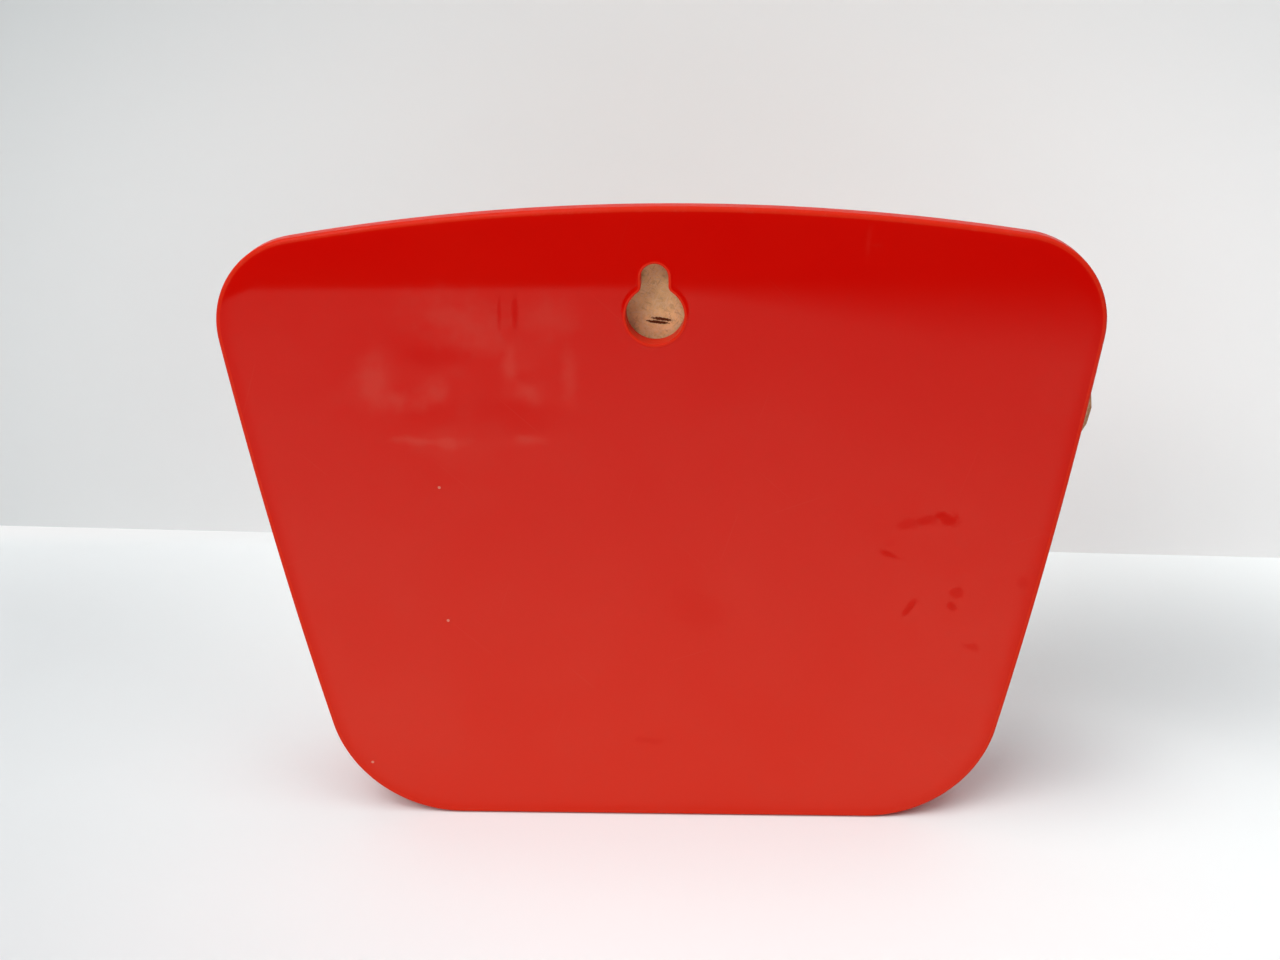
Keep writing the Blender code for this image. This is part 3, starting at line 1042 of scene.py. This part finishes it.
def scratches_group():
    """Hairline scratches in three directions across the x-z plane."""
    tree, board, given, out = new_group(
        "Hairline scratches",
        [("Position", VECTOR, None), ("Amount", NUMBER, 0.5)],
        [("Scratches", NUMBER)],
    )
    lines = []
    limit = board.math("SUBTRACT", 0.86, board.math("MULTIPLY", given["Amount"], 0.14))
    upper = board.math("ADD", limit, 0.05)
    for turn, along, across in ((0.35, 26.0, 1500.0), (1.25, 34.0, 1900.0), (-0.75, 40.0, 1700.0)):
        spot = board.turned(given["Position"], (0.0, turn, 0.0), (along, 60.0, across))
        lines.append(board.ramp(board.noise(spot, 1.0, 0.0), limit, upper))
    board.feed(out["Scratches"], board.greatest(lines))
    return tree


def smears_group():
    """Wiping marks inside a soft oval patch: a filmy part that shines, and a dull part that doesn't."""
    tree, board, given, out = new_group(
        "Wiping smears",
        [
            ("Position", VECTOR, None), ("Centre", VECTOR, (0, 0, 0)),
            ("Reach", VECTOR, (0.03, 0.1, 0.02)), ("Stretch", NUMBER, 1.0),
        ],
        [("Film", NUMBER), ("Dull", NUMBER)],
    )
    oval = board.oval(given["Position"], given["Centre"], given["Reach"])
    ragged = board.math("MULTIPLY_ADD", board.noise(given["Position"], 55.0, 3.0, 0.5), 0.7, oval)
    patch = board.ramp(ragged, 0.75, 1.25, 1.0, 0.0)
    stretched = board.vector_math("MULTIPLY", given["Position"], (62.0, 60.0, 92.0))
    cloud = board.noise(stretched, given["Stretch"], 2.0, 0.40, 0.25)
    board.feed(out["Film"], board.math("MULTIPLY", patch, board.ramp(cloud, 0.50, 0.66)))
    board.feed(out["Dull"], board.math("MULTIPLY", patch, board.ramp(cloud, 0.54, 0.40)))
    return tree


def stroke_group():
    """One ragged stroke or blot: an oval across the x-z plane, turned by lean, full within its core."""
    tree, board, given, out = new_group(
        "Ragged stroke",
        [
            ("Position", VECTOR, None), ("Centre", VECTOR, (0, 0, 0)),
            ("Reach", VECTOR, (0.01, 0.1, 0.01)), ("Lean", VECTOR, (0, 0, 0)),
            ("Fray", NUMBER, 2600.0), ("Ragged", NUMBER, 1.1), ("Core", NUMBER, 0.6),
        ],
        [("Mask", NUMBER)],
    )
    away = board.vector_math("SUBTRACT", given["Position"], given["Centre"])
    level = board.node("ShaderNodeMapping")
    board.feed(level.inputs["Vector"], away)
    board.feed(level.inputs["Rotation"], given["Lean"])
    oval = board.vector_math("LENGTH", board.vector_math("DIVIDE", level.outputs[0], given["Reach"]))
    fray = board.math("SUBTRACT", board.noise(given["Position"], given["Fray"], 2.0, 0.6), 0.5)
    ragged = board.math("MULTIPLY_ADD", fray, given["Ragged"], oval)
    board.feed(out["Mask"], board.ramp(ragged, 1.0, given["Core"], 0.0, 1.0))
    return tree


def specks_group():
    """Sparse dust specks of uneven size."""
    tree, board, given, out = new_group(
        "Dust specks",
        [("Position", VECTOR, None), ("Scale", NUMBER, 120.0), ("Amount", NUMBER, 0.12)],
        [("Specks", NUMBER)],
    )
    cells = board.node("ShaderNodeTexVoronoi", feature="F1")
    board.feed(cells.inputs["Vector"], given["Position"])
    board.feed(cells.inputs["Scale"], given["Scale"])
    split = board.node("ShaderNodeSeparateColor")
    board.feed(split.inputs[0], cells.outputs["Color"])
    chosen = board.math("LESS_THAN", split.outputs[0], given["Amount"])
    size = board.math("ADD", board.math("MULTIPLY", split.outputs[1], 0.045), 0.012)
    dot = board.math("LESS_THAN", cells.outputs["Distance"], size)
    board.feed(out["Specks"], board.math("MULTIPLY", chosen, dot))
    return tree


def edge_group():
    """Where an edge is worn, broken up unevenly, the plain band beside it, and the rim itself, where the
    painted edge glow goes.
    """
    tree, board, given, out = new_group(
        "Edge wear and glow",
        [("Position", VECTOR, None), ("Edge", NUMBER, 0.0)],
        [("Worn", NUMBER), ("Band", NUMBER), ("Rim", NUMBER)],
    )
    broken = board.noise(given["Position"], 260.0, 5.0, 0.65)
    fine = board.noise(given["Position"], 1400.0, 2.0, 0.5)
    uneven = board.math("MULTIPLY", board.ramp(broken, 0.48, 0.66), board.ramp(fine, 0.35, 0.65))
    near = board.ramp(given["Edge"], 0.80, 1.0)
    board.feed(out["Worn"], board.math("MULTIPLY", near, uneven))
    board.feed(out["Band"], board.ramp(given["Edge"], 0.02, 0.75))
    board.feed(out["Rim"], board.ramp(given["Edge"], 0.88, 1.0))
    return tree


def fibres_group():
    """Short random fibres and mottling of unbleached paper, with the height for its bump."""
    tree, board, given, out = new_group(
        "Paper fibres",
        [("Position", VECTOR, None), ("Shift", NUMBER, 0.0)],
        [("Light", NUMBER), ("Dark", NUMBER), ("Mottle", NUMBER), ("Height", NUMBER)],
    )
    moved = board.node("ShaderNodeCombineXYZ")
    board.feed(moved.inputs[1], given["Shift"])
    spot = board.vector_math("ADD", given["Position"], moved.outputs[0])
    wander = board.noise(spot, 900.0, 2.0, 0.5)
    bend = board.node("ShaderNodeCombineXYZ")
    board.feed(bend.inputs[0], board.math("MULTIPLY", wander, 0.0007))
    board.feed(bend.inputs[2], board.math("MULTIPLY", wander, -0.0006))
    spot = board.vector_math("ADD", spot, bend.outputs[0])
    pale, deep = [], []
    for turn, has_dark in ((0.2, False), (0.95, True), (1.75, False), (2.6, True)):
        streak = board.noise(board.turned(spot, (0.0, turn, 0.0), (480.0, 900.0, 2300.0)), 1.0, 1.0)
        pale.append(board.ramp(streak, 0.57, 0.68))
        if has_dark:
            deep.append(board.ramp(streak, 0.40, 0.28))
    light = board.greatest(pale)
    mottle = board.noise(spot, 480.0, 4.0, 0.62)
    crepe = board.noise(board.turned(spot, (0.0, 0.0, 0.0), (500.0, 900.0, 1500.0)), 1.0, 3.0, 0.6)
    height = board.math("ADD", board.math("MULTIPLY", light, 0.5), crepe)
    board.feed(out["Light"], light)
    board.feed(out["Dark"], board.greatest(deep))
    board.feed(out["Mottle"], mottle)
    board.feed(out["Height"], height)
    return tree


def new_material(name):
    """A material with an empty board and its shader."""
    material = bpy.data.materials.new(name)
    material.use_nodes = True
    tree = material.node_tree
    board = Board(tree)
    return material, board, tree.nodes["Principled BSDF"]


def solid(tint):
    """A colour with its full alpha."""
    return (*tint, 1.0)


def add_bump(board, shader, height, strength, distance):
    """Relief that is too fine for the mesh."""
    bump = board.node("ShaderNodeBump")
    bump.inputs["Strength"].default_value = strength
    bump.inputs["Distance"].default_value = distance
    board.feed(bump.inputs["Height"], height)
    board.feed(shader.inputs["Normal"], bump.outputs[0])


def marks_on(face_y, rows):
    """Centre and reach of each mark on an upright face, and whatever else its row says.

    A row begins with x, z, reach along x and reach along z, in millimetres.
    """
    marks = []
    for x, z, reach_x, reach_z, *rest in rows:
        marks.append(((x * MM, face_y, z * MM), (reach_x * MM, MARK_DEPTH, reach_z * MM), *rest))
    return marks


def wiped_masks(board, group, position, marks):
    """Film and dullness of broad wiped patches, each with its stretch and strength."""
    film, dull = 0.0, 0.0
    for centre, reach, stretch, strength in marks:
        smear = board.group(group, Position=position, Centre=centre, Reach=reach, Stretch=stretch)
        film = board.math("MULTIPLY_ADD", smear.outputs["Film"], strength, film)
        dull = board.math("MULTIPLY_ADD", smear.outputs["Dull"], strength, dull)
    return film, dull


def stroke_mask(board, group, position, marks, fray, core):
    """One mask of all strokes, each with its lean, strength and raggedness."""
    found = []
    for centre, reach, lean, strength, ragged in marks:
        stroke = board.group(
            group, Position=position, Centre=centre, Reach=reach, Lean=(0.0, lean, 0.0),
            Fray=fray, Ragged=ragged, Core=core,
        )
        found.append(board.math("MULTIPLY", stroke.outputs[0], strength))
    return board.greatest(found)


def plastic_material(name, finishes, groups, face_y, wiped, films, blots, scratch_amount):
    """Polished red plastic. Wiping and touching change its clear skin more than its colour.

    wiped, films and blots: the rows of its broad wiped patches, pale marks and dull marks.
    """
    material, board, shader = new_material(name)
    position = board.coordinates()
    wear = board.group(groups["edge"], Position=position, Edge=board.attribute("edge")).outputs
    scratches = board.group(groups["scratches"], Position=position, Amount=scratch_amount).outputs[0]
    specks = board.group(groups["specks"], Position=position, Scale=150.0, Amount=0.05).outputs[0]
    film, dull = wiped_masks(board, groups["smears"], position, marks_on(face_y, wiped))
    pale = stroke_mask(board, groups["stroke"], position, marks_on(face_y, films), 260.0, -0.15)
    blot = stroke_mask(board, groups["stroke"], position, marks_on(face_y, blots), 620.0, 0.45)
    film = board.math("ADD", film, pale, clamp=True)
    swirl = board.noise(position, 22.0, 3.0, 0.5, 0.4)
    cloud = board.noise(position, 34.0, 4.0, 0.55, 0.6)
    body = board.layered(
        solid(finishes.red),
        # Painted light: the red grows paler towards the foot, where more light falls on it.
        (board.ramp(board.split(position)[2], 0.125, -0.020), 1.0, finishes.red_painted_lit_foot),
        (board.ramp(swirl, 0.3, 0.7), 0.03, finishes.orange_red),
        # Painted light: orange red on the rim stands for light gathering in the plastic's edges.
        (wear["Rim"], 0.45, finishes.orange_red),
        (film, 0.11, finishes.haze),
        (blot, 0.30, finishes.deep_red),
        (wear["Worn"], 0.10, finishes.haze),
        (scratches, 0.05, finishes.haze),
        (specks, 0.45, finishes.dust),
    )
    rough = board.total(
        finishes.plastic_roughness,
        (film, 0.10), (blot, 0.20), (scratches, 0.12), (wear["Worn"], 0.10), (wear["Rim"], 0.22),
        (board.noise(position, 90.0, 4.0, 0.6), 0.03),
    )
    coat = board.total(
        finishes.gloss,
        (wear["Band"], -0.26), (board.ramp(cloud, 0.35, 0.65, -0.5, 0.5), 0.10), (film, 0.34),
        (dull, -0.26), (blot, -0.55), (wear["Rim"], -0.36), clamp=True,
    )
    coat = board.total(coat, (scratches, -0.06), (specks, -0.4), clamp=True)
    board.feed(shader.inputs["Base Color"], body)
    board.feed(shader.inputs["Roughness"], rough)
    board.feed(shader.inputs["Coat Weight"], coat)
    shader.inputs["IOR"].default_value = 1.49
    shader.inputs["Specular IOR Level"].default_value = 0.04
    shader.inputs["Coat Roughness"].default_value = 0.035
    shader.inputs["Coat IOR"].default_value = 1.49
    height = board.math("MULTIPLY_ADD", scratches, -0.004, board.math("MULTIPLY", swirl, 0.6))
    add_bump(board, shader, height, 0.25, 0.0004)
    return material


def paper_material(name, finishes, groups, keyhole_light=None, marks=()):
    """Unbleached filter paper: mottled, fibrous, with crimped seams.

    keyhole_light: centre and reach of a paler patch of painted light behind the keyhole, if any.
    marks: centre, reach and lean of each dark stroke.
    """
    material, board, shader = new_material(name)
    position = board.coordinates()
    tone = board.attribute("tone")
    seam = board.attribute("seam")
    run = board.attribute("seam_run")
    fibres = board.group(
        groups["fibres"], Position=position, Shift=board.math("MULTIPLY", tone, 3.0),
    ).outputs
    ridge = board.math("SINE", board.math("MULTIPLY", run, 2 * math.pi / RIDGE_PITCH))
    ridge = board.math("MULTIPLY", ridge, board.ramp(seam, 0.4, 0.9))
    body = solid(finishes.paper)
    # Painted light: the rearmost paper is paler behind the keyhole, where the plate shades it.
    if keyhole_light is not None:
        centre, reach = keyhole_light
        patch = board.group(
            groups["stroke"], Position=position, Centre=centre, Reach=reach, Lean=(0.0, 0.0, 0.0),
            Fray=90.0, Ragged=0.2, Core=0.45,
        )
        body = board.mixed(patch.outputs[0], body, solid(finishes.keyhole_light))
    body = board.layered(
        body,
        (board.ramp(fibres["Mottle"], 0.34, 0.66), 0.24, finishes.paper_dark),
        (tone, 0.12, finishes.paper_light),
        (fibres["Light"], 0.50, finishes.paper_light),
        (fibres["Dark"], 0.28, finishes.paper_dark),
        # Painted shade: darker along both sides of each paper, where its edge lies in shade.
        (board.attribute("rim"), 0.55, finishes.paper_dark),
        (board.ramp(ridge, 0.0, 1.0), 0.42, finishes.paper_dark),
        (board.ramp(seam, 0.4, 0.9), 0.12, finishes.paper_dark),
    )
    for centre, reach, lean in marks:
        stroke = board.group(
            groups["stroke"], Position=position, Centre=centre, Reach=reach, Lean=(0.0, lean, 0.0),
        )
        body = board.mixed(stroke.outputs[0], body, solid(finishes.mark))
    board.feed(shader.inputs["Base Color"], body)
    board.feed(shader.inputs["Roughness"], board.ramp(fibres["Mottle"], 0.2, 0.8, 0.86, 0.97))
    shader.inputs["Specular IOR Level"].default_value = 0.25
    shader.inputs["Sheen Weight"].default_value = 0.06
    shader.inputs["Sheen Roughness"].default_value = 0.6
    height = board.math("MULTIPLY_ADD", ridge, 0.8, fibres["Height"])
    add_bump(board, shader, height, 0.8, 0.00012)
    return material


def built_groups():
    """The shared shader groups, made once."""
    makers = {
        "Hairline scratches": ("scratches", scratches_group),
        "Wiping smears": ("smears", smears_group),
        "Ragged stroke": ("stroke", stroke_group),
        "Dust specks": ("specks", specks_group),
        "Edge wear and glow": ("edge", edge_group),
        "Paper fibres": ("fibres", fibres_group),
    }
    groups = {}
    for label, (key, maker) in makers.items():
        groups[key] = bpy.data.node_groups.get(label) or maker()
    return groups


# ---------------------------------------------------------------- stage


def card_with_painted_shade(board, position, pale, shade, fall, patches):
    """Colour of a card with grain, greyed by painted shade across the x axis and in soft patches.

    patches: centre, reach, where it starts and is full in shares of the reach, and strength of each
    patch of painted shade.
    """
    grain = board.noise(position, 6.0, 3.0, 0.5)
    # Painted shade: the card greys towards +x.
    grain_and_shade = board.ramp(board.split(position)[0], -0.25, 0.30, 0.0, fall)
    grain_and_shade = board.math("MULTIPLY_ADD", grain, 0.06, grain_and_shade)
    for centre, reach, start, full, strength in patches:
        oval = board.oval(position, centre, reach)
        grain_and_shade = board.math("ADD", grain_and_shade, board.ramp(oval, start, full, 0.0, strength))
    return board.mixed(grain_and_shade, solid(pale), solid(shade))


def card_shader(shader):
    """A matt surface."""
    shader.inputs["Roughness"].default_value = 0.9
    shader.inputs["Specular IOR Level"].default_value = 0.1


def mixed_shaders(board, factor, first, second):
    """The second shader over the first as far as the factor says."""
    blend = board.node("ShaderNodeMixShader")
    for socket, value in zip(blend.inputs, (factor, first, second)):
        board.feed(socket, value)
    return blend.outputs[0]


def plain_glow(board, tone):
    """A tone that no light changes."""
    glow = board.node("ShaderNodeEmission")
    glow.inputs["Color"].default_value = solid(tone)
    return glow.outputs[0]


def table_material(finishes, stage):
    """Matt pale card with painted shade. Gloss shows it warmer, and only as far as its lit part reaches,
    as a painted reflection.
    """
    material, board, shader = new_material("table_card")
    position = board.coordinates()
    path = board.node("ShaderNodeLightPath").outputs
    patches = (
        # Painted shadow: grey patches behind the holder on the -x side and beside its lower -x corner.
        # Painted shade on the +x side.
        ((-0.145, -0.060, 0.0), (0.120, 0.105, 1.0), 1.0, 0.0, 0.95),
        ((-0.092, -0.002, 0.0), (0.050, 0.035, 1.0), 1.0, 0.0, 0.60),
        ((0.210, -0.060, 0.0), (0.200, 0.150, 1.0), 1.0, 0.0, 0.75),
        ((0.190, 0.110, 0.0), (0.200, 0.160, 1.0), 1.0, 0.0, 0.95),
    )
    body = card_with_painted_shade(board, position, finishes.table, finishes.table_painted_shade, 0.30, patches)
    # Painted reflection: glossy rays see the card in a warmer colour.
    warm = board.mixed(path["Is Glossy Ray"], body, solid(GLOSSY_CARD))
    board.feed(shader.inputs["Base Color"], warm)
    card_shader(shader)
    across, outward, _ = board.split(position)
    # Painted reflection: in gloss the card darkens away from the plate, and its lit part ends sharply on
    # one side and sooner and softly on the other, with black beyond.
    edge_y = PLATE_HIGH.y + stage.table_reach
    start = board.ramp(across, 0.06, -0.20, edge_y - 0.012, edge_y - 0.27)
    end = board.ramp(across, 0.06, -0.20, edge_y + 0.012, edge_y + 0.04)
    beyond = board.ramp(outward, start, end)
    dimmer = board.ramp(outward, PLATE_HIGH.y, edge_y, 0.0, 0.45)
    unlit = board.math("MULTIPLY", board.math("MAXIMUM", beyond, dimmer), path["Is Glossy Ray"])
    # Painted light: behind the backdrop and far away the table glows in one plain tone for the camera,
    # in place of its own lighting.
    behind = board.math("MULTIPLY", board.ramp(outward, -0.13, -0.15), path["Is Camera Ray"])
    away = board.ramp(board.vector_math("LENGTH", position), 0.40, 1.10)
    away = board.math("MULTIPLY", away, path["Is Camera Ray"])
    surface = shader.outputs[0]
    for mask, tone in ((unlit, BLACK), (behind, finishes.near), (away, finishes.far)):
        surface = mixed_shaders(board, mask, surface, plain_glow(board, tone))
    board.feed(board.tree.nodes["Material Output"].inputs[0], surface)
    return material


def backdrop_material(finishes):
    """The same card, seen from its front only."""
    material, board, shader = new_material("backdrop_card")
    # Painted shade: greyer all round, outside a pale middle where a soft pool of light falls.
    patches = (((0.0, -0.140, 0.030), (0.46, 1.0, 0.28), 0.41, 1.0, 1.0),)
    position = board.coordinates()
    body = card_with_painted_shade(board, position, finishes.backdrop, finishes.backdrop_painted_shade, 0.50, patches)
    board.feed(shader.inputs["Base Color"], body)
    card_shader(shader)
    clear = board.node("ShaderNodeBsdfTransparent").outputs[0]
    behind = board.node("ShaderNodeNewGeometry").outputs["Backfacing"]
    surface = mixed_shaders(board, behind, shader.outputs[0], clear)
    board.feed(board.tree.nodes["Material Output"].inputs[0], surface)
    return material


def sheet_of_card(name, corners, material):
    """A flat four-cornered card."""
    mesh = bpy.data.meshes.new(name)
    mesh.from_pydata(corners, [], [(0, 1, 2, 3)])
    mesh.materials.append(material)
    card = bpy.data.objects.new(name, mesh)
    bpy.context.scene.collection.objects.link(card)
    return card


def soft_light(name, spot, size, power):
    """A square soft light that looks at the holder."""
    lamp = bpy.data.lights.new(name, "AREA")
    lamp.shape = "SQUARE"
    lamp.size = size
    lamp.energy = power
    light = bpy.data.objects.new(name, lamp)
    light.location = spot
    light.rotation_euler = (Vector(LAMP_AIM) - Vector(spot)).to_track_quat("-Z", "Y").to_euler()
    bpy.context.scene.collection.objects.link(light)
    return light


def set_world(tone):
    """Soft light from all round, which doesn't show in glossy reflections."""
    world = bpy.data.worlds.new("studio")
    bpy.context.scene.world = world
    world.use_nodes = True
    board = Board(world.node_tree)
    path = board.node("ShaderNodeLightPath")
    seen = board.math("SUBTRACT", 1.0, path.outputs["Is Glossy Ray"])
    strength = board.math(
        "MULTIPLY_ADD", path.outputs["Is Camera Ray"], 1.0 - SURROUND_LIGHT, SURROUND_LIGHT,
    )
    background = world.node_tree.nodes["Background"]
    background.inputs["Color"].default_value = solid(tone)
    board.feed(background.inputs["Strength"], board.math("MULTIPLY", strength, seen))


def set_camera(stage):
    """The camera, a little rolled."""
    lens = bpy.data.cameras.new("camera")
    lens.lens = stage.lens
    lens.sensor_width = 36.0
    lens.sensor_fit = "HORIZONTAL"
    camera = bpy.data.objects.new("camera", lens)
    spot = Vector(stage.camera)
    forward = (Vector(stage.aim) - spot).normalized()
    right = forward.cross(Vector((0.0, 0.0, 1.0))).normalized()
    up = right.cross(forward)
    tilted_right = right * math.cos(stage.roll) + up * math.sin(stage.roll)
    tilted_up = up * math.cos(stage.roll) - right * math.sin(stage.roll)
    turned = Matrix((tilted_right, tilted_up, -forward)).transposed().to_4x4()
    turned.translation = spot
    camera.matrix_world = turned
    bpy.context.scene.collection.objects.link(camera)
    bpy.context.scene.camera = camera


def settle(piece, body, slot, *nodes):
    """Put a finished piece on its body in place of its CAD nodes."""
    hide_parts(*nodes)
    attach(piece, body)


# ---------------------------------------------------------------- operators


class FILTERHOLDER_OT_stage(bpy.types.Operator):
    """Lay the pale table and backdrop, and set the lights and the camera"""

    bl_idname = "filter_holder.stage"
    bl_label = "Stage"

    def execute(self, context):
        stage = context.scene.holder_stage
        finishes = context.scene.holder_finishes
        context.scene.view_settings.view_transform = "Standard"
        set_camera(stage)
        set_world(finishes.far)
        corners = []
        for x, y in ((-1, -1), (1, -1), (1, 1), (-1, 1)):
            corners.append((x * TABLE_HALF, y * TABLE_HALF, -CARD_DROP))
        sheet_of_card("table", corners, table_material(finishes, stage))
        turn = Matrix.Rotation(stage.wall_turn, 3, "Z")
        base = Vector((0.0, -stage.wall_behind, -CARD_DROP))
        corners = []
        for x, z in ((1, 0), (-1, 0), (-1, 1), (1, 1)):
            corners.append(base + turn @ Vector((x * BACKDROP_SIZE, 0.0, z * BACKDROP_SIZE)))
        backdrop = sheet_of_card("backdrop", corners, backdrop_material(finishes))
        backdrop.visible_shadow = False
        soft_light("key", stage.key, LAMP_SIZE, stage.key_power)
        soft_light("side", stage.side, LAMP_SIZE, stage.side_power)
        soft_light("top", stage.top, TOP_LAMP_SIZE, stage.top_power)
        return {"FINISHED"}


class FILTERHOLDER_OT_back_plate(bpy.types.Operator):
    """Make the fan-shaped back plate with its keyhole"""

    bl_idname = "filter_holder.back_plate"
    bl_label = "Back plate"

    def execute(self, context):
        finishes = context.scene.holder_finishes
        material = plastic_material(
            "plate_red_plastic", finishes, built_groups(), PLATE_HIGH.y,
            PLATE_WIPED, PLATE_FILMS, PLATE_BLOTS, 0.35,
        )
        plate = make_back_plate(context.scene.holder_sizes, material)
        settle(plate, "holder", "red_plastic", "back_plate")
        return {"FINISHED"}


class FILTERHOLDER_OT_front_pocket(bpy.types.Operator):
    """Make the open-topped pocket on the plate's front"""

    bl_idname = "filter_holder.front_pocket"
    bl_label = "Front pocket"

    def execute(self, context):
        finishes = context.scene.holder_finishes
        material = plastic_material(
            "pocket_red_plastic", finishes, built_groups(), POCKET_LOW.y,
            POCKET_WIPED, POCKET_FILMS, POCKET_BLOTS, 0.30,
        )
        pocket = make_front_pocket(context.scene.holder_sizes, context.scene.holder_pocket, material)
        settle(pocket, "holder", "red_plastic", "front_pocket")
        return {"FINISHED"}


class FILTERHOLDER_OT_papers(bpy.types.Operator):
    """Make the stack of two-ply papers and the loose front one"""

    bl_idname = "filter_holder.papers"
    bl_label = "Filter papers"

    def execute(self, context):
        holder = context.scene.holder_sizes
        paper = context.scene.holder_papers
        finishes = context.scene.holder_finishes
        groups = built_groups()
        plain = paper_material("brown_filter_paper", finishes, groups)
        head = Vector((0.0, PAPER_HIGH.y, holder.height - holder.key_drop))
        spots = []
        # The first row is the patch of painted light behind the keyhole. The others are dark strokes.
        for x, z, reach_x, reach_z, *lean in (PAPER_KEYHOLE_LIGHT, *PAPER_STROKES):
            centre = head + Vector((x, 0.0, z)) * MM
            spots.append((centre, (reach_x * MM, PAPER_MARK_DEPTH, reach_z * MM), *lean))
        marked = paper_material("marked_filter_paper", finishes, groups, spots[0], spots[1:])
        grid, across, up = paper_grid(holder, paper)
        foot_half = holder.base_flat / 2 - paper.foot_inset
        for number, name in enumerate(PAPER_NAMES):
            material = marked if number == 0 else plain
            sheet = make_paper(name, number, grid, across, up, paper, foot_half, material)
            body = "front_paper" if number == len(PAPER_NAMES) - 1 else "paper_stack"
            settle(sheet, body, "brown_paper", name)
        return {"FINISHED"}


class FILTERHOLDER_PT_panel(bpy.types.Panel):
    """Lists what can be made"""

    bl_idname = "FILTERHOLDER_PT_panel"
    bl_label = "Filter paper holder"
    bl_space_type = "VIEW_3D"
    bl_region_type = "UI"
    bl_category = "Filter holder"

    def draw(self, context):
        for operator in OPERATORS:
            self.layout.operator(operator.bl_idname)


OPERATORS = (
    FILTERHOLDER_OT_stage,
    FILTERHOLDER_OT_back_plate,
    FILTERHOLDER_OT_front_pocket,
    FILTERHOLDER_OT_papers,
)
GROUPS = (
    ("holder_sizes", HolderSizes),
    ("holder_pocket", PocketSizes),
    ("holder_papers", PaperSizes),
    ("holder_finishes", Finishes),
    ("holder_stage", StageSettings),
)


def register():
    for name, group in GROUPS:
        bpy.utils.register_class(group)
        setattr(bpy.types.Scene, name, bpy.props.PointerProperty(type=group))
    for operator in OPERATORS:
        bpy.utils.register_class(operator)
    bpy.utils.register_class(FILTERHOLDER_PT_panel)


def unregister():
    bpy.utils.unregister_class(FILTERHOLDER_PT_panel)
    for operator in reversed(OPERATORS):
        bpy.utils.unregister_class(operator)
    for name, group in reversed(GROUPS):
        delattr(bpy.types.Scene, name)
        bpy.utils.unregister_class(group)


def main():
    """Make everything in order."""
    register()
    bpy.ops.filter_holder.stage()
    bpy.ops.filter_holder.back_plate()
    bpy.ops.filter_holder.front_pocket()
    bpy.ops.filter_holder.papers()


if __name__ == "__main__":
    main()
